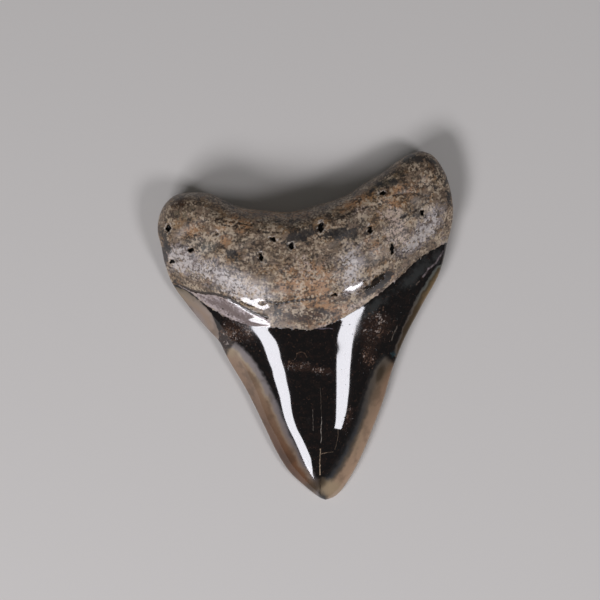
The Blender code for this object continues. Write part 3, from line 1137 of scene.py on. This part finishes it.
@dataclass(frozen=True)
class PolishedFossil:
    """Mineralised tooth, cut and polished: porous brown root, glassy black enamel, clear grey-tan edges.

    The root takes a soft polish that blurs what it reflects. The enamel takes a hard one and mirrors the
    lights. Where no dark core lies under the enamel, at the cutting edges, it shows as clear grey to tan.
    Real pores are about 0.2 mm wide, and the close grains are drawn twice as coarse, so that they show.
    Sizes are in millimetres. Each pair called a fade holds the values between which something sets in.
    """

    ior: float = 1.6  # apatite
    root_roughness: float = 0.42
    polished_roughness: float = 0.07
    enamel_roughness: float = 0.05
    hazy_roughness: float = 0.12
    root_base: str = "#84705d"
    enamel_base: str = "#0f0c0c"
    unevenness: Wander = Wander(0.9, 0.3)
    grain_relief_mm: float = 0.04
    grain_size: float = 0.55
    fibre_size: float = 0.8
    rubbed_away: float = 0.93
    rubbed_edge: Wander = Wander(1.3, 2.0)
    rubbed_strip_fade: tuple[float, float] = (-0.2, 0.3)
    rubbed_fade: tuple[float, float] = (0.45, 0.6)
    pit_size: float = 0.8
    pit_depth: float = 1.5
    pit_fade: tuple[float, float] = (0.72, 0.8)
    pits_by_speck: float = 0.14
    detail: float = 4.0
    slow_detail: float = 3.0
    harshness: float = 0.72
    fibre_stretch: float = 0.22
    cluster: float = 6.0
    clustering: float = 1.7
    dot_uneven: float = 0.6
    root_line: Wander = Wander(1.1, 1.6)
    root_line_soft: float = 0.12
    window_reach: float = 6.0
    window_side: Wander = Wander(1.1, 0.8)
    window_bands: Wander = Wander(4.0, 1.6, 3.0)
    window_cloud: str = "#3a3128"
    window_cloud_fade: tuple[float, float] = (0.48, 0.66)
    window_cloud_share: float = 0.35
    hairline_bend: Wander = Wander(1.5, 0.7, 3.0)
    break_size: float = 0.9
    break_detail: float = 2.0
    break_fade: tuple[float, float] = (0.44, 0.56)
    hairline_least: float = 0.35
    hairline_sides: tuple[float, float] = (1.6, 0.4)
    root_tints: tuple[Tint, ...] = (
        # pale pinkish grey on the root, partly a painted sheen of the lamps
        Tint("#8e8482", "pale", Pattern.CLOUDS, 1.8, 1.6, 0.3, 0.6, 0.85),
        Tint("#aa7f58", "warm", Pattern.CLOUDS, 1.6, 1.6, 0.33, 0.58, 0.88),
        Tint("#9b764a", "", Pattern.CLOUDS, 5.1, 1.0, 0.53, 0.6, 0.5),
        Tint("#5c5345", "", Pattern.CLOUDS, 3.7, 1.0, 0.54, 0.6, 0.5),
        Tint("#4b4b3d", "green", Pattern.CLOUDS, 1.7, 1.8, 0.4, 0.65, 0.65),
        Tint("#cbb5a6", "tan", Pattern.CLOUDS, 1.3, 1.8, 0.36, 0.58, 0.85),
        Tint("#3b220f", "umber", Pattern.CLOUDS, 1.3, 1.8, 0.25, 0.6, 0.92),
        Tint("#4b3a2c", "", Pattern.FIBRES, 1.25, 1.0, 0.53, 0.6, 0.68),
        Tint("#b39d80", "", Pattern.FIBRES, 1.05, 1.0, 0.56, 0.62, 0.52),
        Tint("#3a2c21", "", Pattern.CLOUDS, 0.8, 1.0, 0.54, 0.6, 0.5),
        Tint("#c2ab8a", "", Pattern.CLOUDS, 0.85, 1.0, 0.56, 0.62, 0.42),
        Tint("#261c15", "", Pattern.GRAINS, 0.44, 1.0, 0.57, 0.8, 0.74),
        Tint("#d2bfa5", "", Pattern.GRAINS, 0.48, 1.0, 0.6, 0.84, 0.6),
        Tint("#28221f", "", Pattern.CLOUDS, 2.3, 1.0, 0.59, 0.64, 0.65),
        # whitish frost in the palest places: painted sheen and highlights of the lamps
        Tint("#dad2cd", "pale", Pattern.CLOUDS, 0.95, 2.4, 0.88, 1.0, 0.65),
        # dark slate stains, and painted shade along the root's outline
        Tint("#1b1c1f", "stain", Pattern.CLOUDS, 1.7, 3.2, 0.5, 0.78, 0.84),
        Tint("#151211", "wedge", Pattern.CLOUDS, 1.0, 2.2, 0.5, 0.75, 0.92),
        Tint("#bbadab", "strip", Pattern.CLOUDS, 1.2, 1.6, -0.2, 0.45, 0.75),
        Tint("#cbbfc0", "strip", Pattern.FIBRES, 0.9, 5.0, 0.55, 1.05, 0.6),
        # near white along the top edge of the strip: pale colour and a painted highlight
        Tint("#e0d9da", "bright", Pattern.FIBRES, 0.9, 2.2, 0.5, 0.9, 0.7),
        Tint("#5d4f49", "strip", Pattern.CLOUDS, 0.8, 6.0, 0.8, 1.2, 0.55),
        Tint("#6a5a54", "strip", Pattern.GRAINS, 0.42, 2.2, 0.9, 1.7, 0.55),
        Tint("#3a322c", "", Pattern.CLOUDS, 8.3, 1.0, 0.53, 0.64, 0.3),
        Tint("#2b231e", "", Pattern.DOTS, 1.5, 1.0, 0.72, 0.78, 0.8),
        Tint("#261c16", "groove", Pattern.CLOUDS, 0.8, 1.8, 0.18, 0.45, 0.92),
        # pale on the rings round the nutrient holes: a painted highlight
        Tint("#c9beb1", "rim_highlight", Pattern.CLOUDS, 0.8, 3.0, 0.85, 1.15, 0.7),
        # near black in the nutrient holes: dirt, and painted shade deep in them
        Tint("#0b0908", "hole", Pattern.CLOUDS, 0.6, 1.4, 0.3, 0.5, 1.0),
    )
    enamel_tints: tuple[Tint, ...] = (
        Tint("#1f1512", "", Pattern.CLOUDS, 1.3, 1.0, 0.5, 0.6, 0.7),
        # painted grey sheen beside the highlight streaks
        Tint("#3f3a3c", "haze", Pattern.CLOUDS, 1.4, 1.4, 0.2, 1.1, 0.8),
        # painted faint grey sheen on the black enamel
        Tint("#3a3c3b", "slate", Pattern.CLOUDS, 2.0, 1.8, 0.15, 0.95, 0.75),
        Tint("#33231c", "speck", Pattern.CLOUDS, 0.9, 1.4, 0.6, 1.1, 0.7),
        Tint("#4f392c", "", Pattern.CLOUDS, 0.6, 1.0, 0.62, 0.65, 0.65),
        Tint("#6d5546", "speck", Pattern.GRAINS, 0.38, 1.5, 1.36, 1.48, 0.55),
        Tint("#5e4a3b", "speck", Pattern.CLOUDS, 0.55, 3.0, 1.24, 1.36, 0.4),
        Tint("#beb2a9", "speck", Pattern.GRAINS, 0.36, 1.2, 1.5, 1.57, 0.55),
        # pale flecks in the painted grey sheen
        Tint("#a3968c", "haze", Pattern.CLOUDS, 0.5, 3.0, 1.0, 1.2, 0.6),
    )
    edge_tints: tuple[Tint, ...] = (
        Tint("#a08d72", "milk", Pattern.CLOUDS, 2.0, 0.6, 0.2, 0.9, 0.85),
        Tint("#3b3022", "murk", Pattern.CLOUDS, 2.0, 0.6, 0.2, 0.9, 0.8),
        Tint("#203438", "teal", Pattern.CLOUDS, 2.0, 0.4, 0.3, 0.7, 0.7),
        Tint("#a8967f", "edge", Pattern.CLOUDS, 2.2, 0.8, 0.32, 0.05, 0.45),
    )
    hairlines: tuple[Hairline, ...] = (
        Hairline(3.6, -15.5, 4.1, -23.0, 0.05, "#7a6d60", 0.5),
        Hairline(4.1, -23.0, 3.9, -29.5, 0.07, "#b3a99e", 0.75),
        Hairline(3.7, -31.2, 3.7, -37.8, 0.12, "#bca68c", 0.8),
        Hairline(3.7, -39.0, 3.75, -44.6, 0.1, "#2a211b", 0.9),
        Hairline(1.9, -21.0, 1.9, -26.5, 0.06, "#8a7f74", 0.6),
        Hairline(3.9, -32.5, 7.2, -32.0, 0.07, "#a08b75", 0.6),
        Hairline(8.2, -25.7, 8.2, -29.0, 0.06, "#8d7865", 0.5),
        Hairline(8.2, -29.0, 7.5, -31.2, 0.06, "#8d7865", 0.5),
        Hairline(35.1, 19.2, 33.3, 16.1, 0.2, "#9c8d8f", 0.6),
        Hairline(33.3, 16.1, 31.4, 14.7, 0.2, "#9c8d8f", 0.6),
        Hairline(31.4, 14.7, 30.0, 12.6, 0.2, "#9c8d8f", 0.6),
        Hairline(28.9, 11.4, 28.2, 10.7, 0.2, "#7d6d62", 0.5),
        Hairline(23.3, 0.1, 21.9, -3.5, 0.14, "#8f8478", 0.45),
        # pale line at the root's lip, partly a painted highlight on it
        Hairline(0.6, -0.5, 6.8, -0.5, 0.12, "#8f8690", 0.5),
        Hairline(-2.4, -7.8, -2.2, -6.8, 0.08, "#7a604e", 0.6),
        Hairline(-2.2, -6.8, -1.1, -6.3, 0.08, "#7a604e", 0.6),
        Hairline(-1.1, -6.3, -0.1, -6.8, 0.08, "#7a604e", 0.5),
        Hairline(-0.1, -6.8, 0.4, -7.8, 0.08, "#7a604e", 0.4),
        Hairline(21.9, -7.0, 23.0, -7.3, 0.25, "#33474b", 0.8),
    )

    def material(self) -> bpy.types.Material:
        """Build the finish: root and enamel in their own layers, joined along the root line.

        Returns:
            The material.
        """
        made = bpy.data.materials.new("polished_fossil")
        made.use_nodes = True
        tree = made.node_tree
        tree.nodes.clear()
        place = self.place(tree)
        on_root = self.on_root(tree, place)
        rubbed = self.rubbed(tree, place)
        root = self.layered(tree, place, linear(self.root_base), self.root_tints)
        enamel = self.layered(tree, place, linear(self.enamel_base), self.enamel_tints)
        enamel = self.windowed(tree, place, enamel)
        enamel = self.layered(tree, place, enamel, self.edge_tints)
        enamel = self.cracked(tree, place, enamel)
        inputs = {0: on_root, 6: enamel, 7: root}
        colour = add_node(tree, "ShaderNodeMix", inputs, data_type="RGBA").outputs[2]
        shader = add_node(
            tree,
            "ShaderNodeBsdfPrincipled",
            {
                "Base Color": colour,
                "Roughness": self.roughness(tree, place, on_root, rubbed),
                "IOR": self.ior,
                "Normal": self.grain_relief(tree, place, on_root, rubbed),
            },
        )
        add_node(tree, "ShaderNodeOutputMaterial", {"Surface": shader.outputs[0]})
        return made

    def place(self, tree: Tree) -> Socket:
        """Give the place on the tooth in millimetres.

        Args:
            tree: the material's nodes.

        Returns:
            The place: the object's own coordinates over 0.001.
        """
        where = add_node(tree, "ShaderNodeTexCoord").outputs["Object"]
        inputs = {0: where, "Scale": 1.0 / MM}
        return add_node(tree, "ShaderNodeVectorMath", inputs, operation="SCALE").outputs[0]

    def attribute(self, tree: Tree, name: str) -> Socket:
        """Give one of the mesh's attributes."""
        return add_node(tree, "ShaderNodeAttribute", attribute_name=name).outputs["Fac"]

    def swung(self, tree: Tree, pattern: Socket, swing: float, middle: float = 0.0) -> Socket:
        """Swing to either side of a middle by a pattern: middle + (pattern - 0.5) * swing."""
        inputs = {0: pattern, 1: swing, 2: middle - 0.5 * swing}
        return add_node(tree, "ShaderNodeMath", inputs, operation="MULTIPLY_ADD").outputs[0]

    def strayed(self, tree: Tree, place: Socket, wander: Wander, middle: float = 0.0) -> Socket:
        """Stray to either side of a middle: a noise with bends of the wander's size, swung by its swing.

        Args:
            tree: the material's nodes.
            place: the place in millimetres.
            wander: the size of the bends, and how far they swing.
            middle: what it strays from.

        Returns:
            The value.
        """
        inputs = {"Vector": place, "Scale": 1.0 / wander.size, "Detail": wander.detail}
        noise = add_node(tree, "ShaderNodeTexNoise", inputs).outputs[0]
        return self.swung(tree, noise, wander.swing, middle)

    def pattern(self, tree: Tree, place: Socket, pattern: Pattern, size: float) -> Socket:
        """Give a pattern's value, which lies between 0 and 1 for all but the grains and the dots.

        Args:
            tree: the material's nodes.
            place: the place in millimetres.
            pattern: which pattern.
            size: the size of its forms.

        Returns:
            The pattern's value.
        """
        if pattern is Pattern.GRAINS:
            inputs = {"Vector": place, "Scale": 1.0 / size}
            cells = add_node(tree, "ShaderNodeTexVoronoi", inputs).outputs["Color"]
            inputs = {"Vector": place, "Scale": 1.0 / (self.cluster * size), "Detail": self.slow_detail}
            clouds = add_node(tree, "ShaderNodeTexNoise", inputs).outputs[0]
            more = self.swung(tree, clouds, self.clustering)
            return add_node(tree, "ShaderNodeMath", {0: cells, 1: more}, operation="ADD").outputs[0]
        if pattern is Pattern.DOTS:
            cells = add_node(tree, "ShaderNodeTexVoronoi", {"Vector": place, "Scale": 1.0 / size})
            inputs = {0: cells.outputs["Color"], 1: -self.dot_uneven, 2: 1.0}
            largest = add_node(tree, "ShaderNodeMath", inputs, operation="MULTIPLY_ADD").outputs[0]
            inputs = {0: largest, 1: cells.outputs["Distance"]}
            return add_node(tree, "ShaderNodeMath", inputs, operation="SUBTRACT").outputs[0]
        if pattern is Pattern.FIBRES:
            across = add_node(tree, "ShaderNodeSeparateXYZ", {0: place}).outputs[0]
            inputs = {0: across, 1: self.fibre_stretch}
            slow = add_node(tree, "ShaderNodeMath", inputs, operation="MULTIPLY").outputs[0]
            up = self.attribute(tree, "grain_up")
            place = add_node(tree, "ShaderNodeCombineXYZ", {0: slow, 1: up, 2: size}).outputs[0]
        inputs = {"Vector": place, "Scale": 1.0 / size, "Detail": self.detail, "Roughness": self.harshness}
        return add_node(tree, "ShaderNodeTexNoise", inputs).outputs[0]

    def layered(
        self, tree: Tree, place: Socket, colour: Socket | tuple[float, ...], tints: tuple[Tint, ...]
    ) -> Socket:
        """Lay tints over a colour, one after the other.

        Args:
            tree: the material's nodes.
            place: the place in millimetres.
            colour: the colour under them all.
            tints: the tints from the lowest up.

        Returns:
            The colour.
        """
        for tint in tints:
            drawn = self.pattern(tree, place, tint.pattern, tint.size)
            spread = self.attribute(tree, tint.spread) if tint.spread else 0.5
            inputs = {0: spread, 1: self.swung(tree, drawn, tint.ragged)}
            total = add_node(tree, "ShaderNodeMath", inputs, operation="ADD").outputs[0]
            inputs = {0: total, 1: tint.low, 2: tint.high, 3: 0.0, 4: tint.strength}
            share = add_node(tree, "ShaderNodeMapRange", inputs, interpolation_type="SMOOTHSTEP").outputs[0]
            inputs = {0: share, 6: colour, 7: linear(tint.colour)}
            colour = add_node(tree, "ShaderNodeMix", inputs, data_type="RGBA").outputs[2]
        return colour

    def on_root(self, tree: Tree, place: Socket) -> Socket:
        """Give 1 on the root and 0 on the enamel, with a ragged line between them.

        Args:
            tree: the material's nodes.
            place: the place in millimetres.

        Returns:
            The share of root, blended over the signed distance to the root line and its straying.
        """
        inputs = {0: self.attribute(tree, "root_distance"), 1: self.strayed(tree, place, self.root_line)}
        total = add_node(tree, "ShaderNodeMath", inputs, operation="ADD").outputs[0]
        inputs = {0: total, 1: -self.root_line_soft, 2: self.root_line_soft}
        return add_node(tree, "ShaderNodeMapRange", inputs, interpolation_type="SMOOTHSTEP").outputs[0]

    def windowed(self, tree: Tree, place: Socket, enamel: Socket) -> Socket:
        """Lay the clear windows of the cutting edges over the enamel.

        Args:
            tree: the material's nodes.
            place: the place in millimetres.
            enamel: the colour of the enamel over the dark core.

        Returns:
            The colour.
        """
        ragged = self.strayed(tree, place, self.window_side)
        inputs = {"Vector": place, "Scale": 1.0 / self.window_bands.size, "Detail": self.window_bands.detail}
        slow = add_node(tree, "ShaderNodeTexNoise", inputs).outputs[0]
        inputs = {0: self.swung(tree, slow, self.window_bands.swing), 1: ragged}
        both = add_node(tree, "ShaderNodeMath", inputs, operation="ADD").outputs[0]
        low, high = self.window_cloud_fade
        inputs = {0: slow, 1: low, 2: high, 3: 0.0, 4: self.window_cloud_share}
        cloud = add_node(tree, "ShaderNodeMapRange", inputs, interpolation_type="SMOOTHSTEP").outputs[0]
        height = add_node(tree, "ShaderNodeSeparateXYZ", {0: place}).outputs[1]
        for window in CLEAR_WINDOWS:
            inputs = {0: self.attribute(tree, window.name + "_depth"), 1: both}
            inner = add_node(tree, "ShaderNodeMath", inputs, operation="ADD").outputs[0]
            inputs = {0: height, 1: window.root_y, 2: window.tip_y}
            share = add_node(tree, "ShaderNodeMapRange", inputs).outputs[0]
            root_end = self.banded(tree, inner, window.root_end)
            inputs = {0: share, 6: root_end, 7: self.banded(tree, inner, window.tip_end)}
            colour = add_node(tree, "ShaderNodeMix", inputs, data_type="RGBA").outputs[2]
            inputs = {0: cloud, 6: colour, 7: linear(self.window_cloud)}
            colour = add_node(tree, "ShaderNodeMix", inputs, data_type="RGBA").outputs[2]
            inputs = {0: self.attribute(tree, window.name), 1: ragged}
            depth = add_node(tree, "ShaderNodeMath", inputs, operation="ADD").outputs[0]
            inputs = {0: depth, 1: -window.soft, 2: window.soft}
            share = add_node(tree, "ShaderNodeMapRange", inputs, interpolation_type="SMOOTHSTEP").outputs[0]
            inputs = {0: share, 6: enamel, 7: colour}
            enamel = add_node(tree, "ShaderNodeMix", inputs, data_type="RGBA").outputs[2]
        return enamel

    def banded(self, tree: Tree, depth: Socket, stops: tuple[tuple[float, str], ...]) -> Socket:
        """Give a window's colour by the depth in it, fading from each stop to the next.

        Args:
            tree: the material's nodes.
            depth: the depth in millimetres.
            stops: depths and colours.

        Returns:
            The colour.
        """
        inputs = {0: depth, 1: 1.0 / self.window_reach}
        share = add_node(tree, "ShaderNodeMath", inputs, operation="MULTIPLY", use_clamp=True).outputs[0]
        ramp = add_node(tree, "ShaderNodeValToRGB", {0: share})
        elements = ramp.color_ramp.elements
        elements.remove(elements[0])
        elements[0].position = stops[0][0] / self.window_reach
        elements[0].color = linear(stops[0][1])
        for at, colour in stops[1:]:
            elements.new(at / self.window_reach).color = linear(colour)
        return ramp.outputs[0]

    def cracked(self, tree: Tree, place: Socket, enamel: Socket) -> Socket:
        """Draw the hairlines on the domed face, bent by one noise and broken here and there by another.

        Args:
            tree: the material's nodes.
            place: the place in millimetres.
            enamel: the colour under the lines.

        Returns:
            The colour.
        """
        bend = self.hairline_bend
        inputs = {"Vector": place, "Scale": 1.0 / bend.size, "Detail": bend.detail}
        noise = add_node(tree, "ShaderNodeTexNoise", inputs).outputs[1]
        inputs = {0: noise, 1: (bend.swing, bend.swing, 0.0), 2: place}
        bent = add_node(tree, "ShaderNodeVectorMath", inputs, operation="MULTIPLY_ADD").outputs[0]
        inputs = {0: bent, 1: (1.0, 1.0, 0.0)}
        flat = add_node(tree, "ShaderNodeVectorMath", inputs, operation="MULTIPLY").outputs[0]
        inputs = {"Vector": place, "Scale": 1.0 / self.break_size, "Detail": self.break_detail}
        noise = add_node(tree, "ShaderNodeTexNoise", inputs).outputs[0]
        low, high = self.break_fade
        inputs = {0: noise, 1: low, 2: high, 3: self.hairline_least, 4: 1.0}
        broken = add_node(tree, "ShaderNodeMapRange", inputs, interpolation_type="SMOOTHSTEP").outputs[0]
        inputs = {0: self.attribute(tree, "lingual"), 1: broken}
        kept = add_node(tree, "ShaderNodeMath", inputs, operation="MULTIPLY").outputs[0]
        for line in self.hairlines:
            drawn = self.hairline(tree, flat, line)
            share = add_node(tree, "ShaderNodeMath", {0: drawn, 1: kept}, operation="MULTIPLY").outputs[0]
            inputs = {0: share, 6: enamel, 7: linear(line.colour)}
            enamel = add_node(tree, "ShaderNodeMix", inputs, data_type="RGBA").outputs[2]
        return enamel

    def hairline(self, tree: Tree, flat: Socket, line: Hairline) -> Socket:
        """Give how strongly a hairline shows, by the distance from it: its strength on it, 0 past its sides.

        The bends move every place one way, by half the swing on average, so the line is moved as far.

        Args:
            tree: the material's nodes.
            flat: the wandering place in plan.
            line: the hairline.

        Returns:
            The share.
        """
        shift = 0.5 * self.hairline_bend.swing
        start = Vector((line.x0 + shift, line.y0 + shift, 0.0))
        run = Vector((line.x1 - line.x0, line.y1 - line.y0, 0.0))
        inputs = {0: flat, 1: start}
        away = add_node(tree, "ShaderNodeVectorMath", inputs, operation="SUBTRACT").outputs[0]
        inputs = {0: away, 1: run / run.length_squared}
        ahead = add_node(tree, "ShaderNodeVectorMath", inputs, operation="DOT_PRODUCT").outputs["Value"]
        inputs = {0: ahead, 1: 0.0}
        share = add_node(tree, "ShaderNodeMath", inputs, operation="ADD", use_clamp=True).outputs[0]
        inputs = {0: run, "Scale": share}
        nearest = add_node(tree, "ShaderNodeVectorMath", inputs, operation="SCALE").outputs[0]
        inputs = {0: away, 1: nearest}
        gap = add_node(tree, "ShaderNodeVectorMath", inputs, operation="DISTANCE").outputs["Value"]
        outside, inside = self.hairline_sides
        inputs = {0: gap, 1: line.width * outside, 2: line.width * inside, 3: 0.0, 4: line.strength}
        return add_node(tree, "ShaderNodeMapRange", inputs, interpolation_type="SMOOTHSTEP").outputs[0]

    def rubbed(self, tree: Tree, place: Socket) -> Socket:
        """Give 1 where the root is rubbed smooth and 0 elsewhere, with ragged edges.

        Args:
            tree: the material's nodes.
            place: the place in millimetres.

        Returns:
            The share.
        """
        low, high = self.rubbed_strip_fade
        inputs = {0: self.attribute(tree, "strip"), 1: low, 2: high}
        strip = add_node(tree, "ShaderNodeMapRange", inputs).outputs[0]
        inputs = {0: self.attribute(tree, "polish"), 1: strip}
        smooth = add_node(tree, "ShaderNodeMath", inputs, operation="MAXIMUM").outputs[0]
        inputs = {0: smooth, 1: self.strayed(tree, place, self.rubbed_edge)}
        total = add_node(tree, "ShaderNodeMath", inputs, operation="ADD").outputs[0]
        low, high = self.rubbed_fade
        inputs = {0: total, 1: low, 2: high}
        return add_node(tree, "ShaderNodeMapRange", inputs, interpolation_type="SMOOTHSTEP").outputs[0]

    def roughness(self, tree: Tree, place: Socket, on_root: Socket, rubbed: Socket) -> Socket:
        """Give the roughness: higher in the enamel's hazy patches, which also carry a painted sheen, uneven
        on the root and low where that is rubbed.

        Args:
            tree: the material's nodes.
            place: the place in millimetres.
            on_root: 1 on the root and 0 on the enamel.
            rubbed: 1 where the root is rubbed smooth.

        Returns:
            The roughness.
        """
        uneven = self.strayed(tree, place, self.unevenness, self.root_roughness)
        inputs = {0: rubbed, 2: uneven, 3: self.polished_roughness}
        root = add_node(tree, "ShaderNodeMix", inputs, data_type="FLOAT").outputs[0]
        inputs = {0: self.attribute(tree, "haze"), 1: self.hazy_roughness, 2: self.enamel_roughness}
        enamel = add_node(tree, "ShaderNodeMath", inputs, operation="MULTIPLY_ADD").outputs[0]
        inputs = {0: on_root, 2: enamel, 3: root}
        return add_node(tree, "ShaderNodeMix", inputs, data_type="FLOAT").outputs[0]

    def grain_relief(self, tree: Tree, place: Socket, on_root: Socket, rubbed: Socket) -> Socket:
        """Give the fine grain, too fine for the mesh: pores and fibres of the root, and pits in the enamel.

        Args:
            tree: the material's nodes.
            place: the place in millimetres.
            on_root: 1 on the root and 0 on the enamel.
            rubbed: 1 where the root is rubbed smooth.

        Returns:
            The normal.
        """
        grain = self.pattern(tree, place, Pattern.CLOUDS, self.grain_size)
        fibres = self.pattern(tree, place, Pattern.FIBRES, self.fibre_size)
        both = add_node(tree, "ShaderNodeMath", {0: grain, 1: fibres}, operation="ADD").outputs[0]
        inputs = {0: rubbed, 1: -self.rubbed_away, 2: 1.0}
        kept = add_node(tree, "ShaderNodeMath", inputs, operation="MULTIPLY_ADD").outputs[0]
        kept = add_node(tree, "ShaderNodeMath", {0: kept, 1: on_root}, operation="MULTIPLY").outputs[0]
        height = add_node(tree, "ShaderNodeMath", {0: both, 1: kept}, operation="MULTIPLY").outputs[0]
        cells = self.pattern(tree, place, Pattern.CLOUDS, self.pit_size)
        inputs = {0: self.attribute(tree, "speck"), 1: self.pits_by_speck, 2: cells}
        total = add_node(tree, "ShaderNodeMath", inputs, operation="MULTIPLY_ADD").outputs[0]
        low, high = self.pit_fade
        inputs = {0: total, 1: low, 2: high, 3: 0.0, 4: -self.pit_depth}
        pits = add_node(tree, "ShaderNodeMapRange", inputs, interpolation_type="SMOOTHSTEP").outputs[0]
        height = add_node(tree, "ShaderNodeMath", {0: height, 1: pits}, operation="ADD").outputs[0]
        inputs = {"Strength": 1.0, "Distance": self.grain_relief_mm * MM, "Height": height}
        return add_node(tree, "ShaderNodeBump", inputs).outputs[0]


@dataclass(frozen=True)
class Lamp:
    """A long lamp, in metres: the way to it for each unit up, its turn in degrees, its width and length."""

    name: str
    over_x: float
    over_y: float
    turn: float
    width: float
    length: float


@dataclass
class Studio:
    """A pale floor, two long soft lamps and a camera that looks straight down on the tooth, in metres."""

    floor_size: float = 3.0
    floor_colour: str = "#d9d6d1"
    floor_roughness: float = 0.7
    camera_height: float = 0.46
    camera_over: tuple[float, float] = (-0.0014, 0.0067)
    view_width: float = 0.153
    sensor_mm: float = 36.0
    nearest_seen: float = 0.01
    surface_height: float = 0.006
    lamp_distance: float = 0.95
    lamp_radiance: float = 16.0
    lamp_colour: str = "#f9f8ff"
    lamps: tuple[Lamp, ...] = (
        Lamp("left", -0.690, -0.862, 36.2, 0.226, 0.5),
        Lamp("right", 0.741, -0.433, -6.5, 0.213, 0.24),
    )
    fill: float = 0.09

    def build(self) -> None:
        """Make the floor, lamps, camera and surroundings."""
        self.floor()
        for lamp in self.lamps:
            self.hang(lamp)
        self.camera()
        self.surroundings()

    def floor(self) -> None:
        """Lay a plain pale floor under the tooth."""
        half = self.floor_size / 2.0
        mesh = bpy.data.meshes.new("floor")
        corners = [(-half, -half, 0.0), (half, -half, 0.0), (half, half, 0.0), (-half, half, 0.0)]
        mesh.from_pydata(corners, [], [(0, 1, 2, 3)])
        floor = bpy.data.objects.new("floor", mesh)
        bpy.context.scene.collection.objects.link(floor)
        made = bpy.data.materials.new("floor")
        made.use_nodes = True
        shader = made.node_tree.nodes["Principled BSDF"]
        shader.inputs["Base Color"].default_value = linear(self.floor_colour)
        shader.inputs["Roughness"].default_value = self.floor_roughness
        mesh.materials.append(made)

    def hang(self, lamp: Lamp) -> None:
        """Hang a long soft lamp that faces the tooth.

        Args:
            lamp: where it hangs and its size.
        """
        light = bpy.data.lights.new(lamp.name, "AREA")
        light.shape = "RECTANGLE"
        light.size, light.size_y = lamp.width, lamp.length
        light.energy = self.lamp_radiance * np.pi * lamp.width * lamp.length
        light.color = linear(self.lamp_colour)[:3]
        back = Vector((lamp.over_x, lamp.over_y, 1.0)).normalized()
        across = Vector((0.0, 1.0, 0.0)).cross(back).normalized()
        facing = Matrix((across, back.cross(across), back)).transposed()
        turned = facing @ Matrix.Rotation(np.radians(lamp.turn), 3, "Z")
        hung = bpy.data.objects.new(lamp.name, light)
        hung.matrix_world = Matrix.Translation(back * self.lamp_distance) @ turned.to_4x4()
        bpy.context.scene.collection.objects.link(hung)

    def camera(self) -> None:
        """Set the camera over the tooth, looking straight down, with the root away from it."""
        lens = bpy.data.cameras.new("camera")
        lens.sensor_width = self.sensor_mm
        lens.lens = self.sensor_mm * (self.camera_height - self.surface_height) / self.view_width
        lens.clip_start = self.nearest_seen
        camera = bpy.data.objects.new("camera", lens)
        camera.location = (*self.camera_over, self.camera_height)
        bpy.context.scene.collection.objects.link(camera)
        bpy.context.scene.camera = camera

    def surroundings(self) -> None:
        """Fill the room with a little even light."""
        world = bpy.data.worlds.new("room")
        world.use_nodes = True
        world.node_tree.nodes["Background"].inputs[0].default_value = (1.0, 1.0, 1.0, 1.0)
        world.node_tree.nodes["Background"].inputs[1].default_value = self.fill
        bpy.context.scene.world = world
        bpy.context.scene.view_settings.view_transform = "Standard"


def main() -> None:
    """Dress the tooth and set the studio."""
    logging.basicConfig(level=logging.INFO, format="%(message)s")
    tooth = ToothSurface().build()
    tooth.data.materials.append(PolishedFossil().material())
    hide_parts("tooth")
    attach(tooth, "root")
    log.info("tooth dressed")
    Studio().build()
    log.info("studio set")


if __name__ == "__main__":
    main()
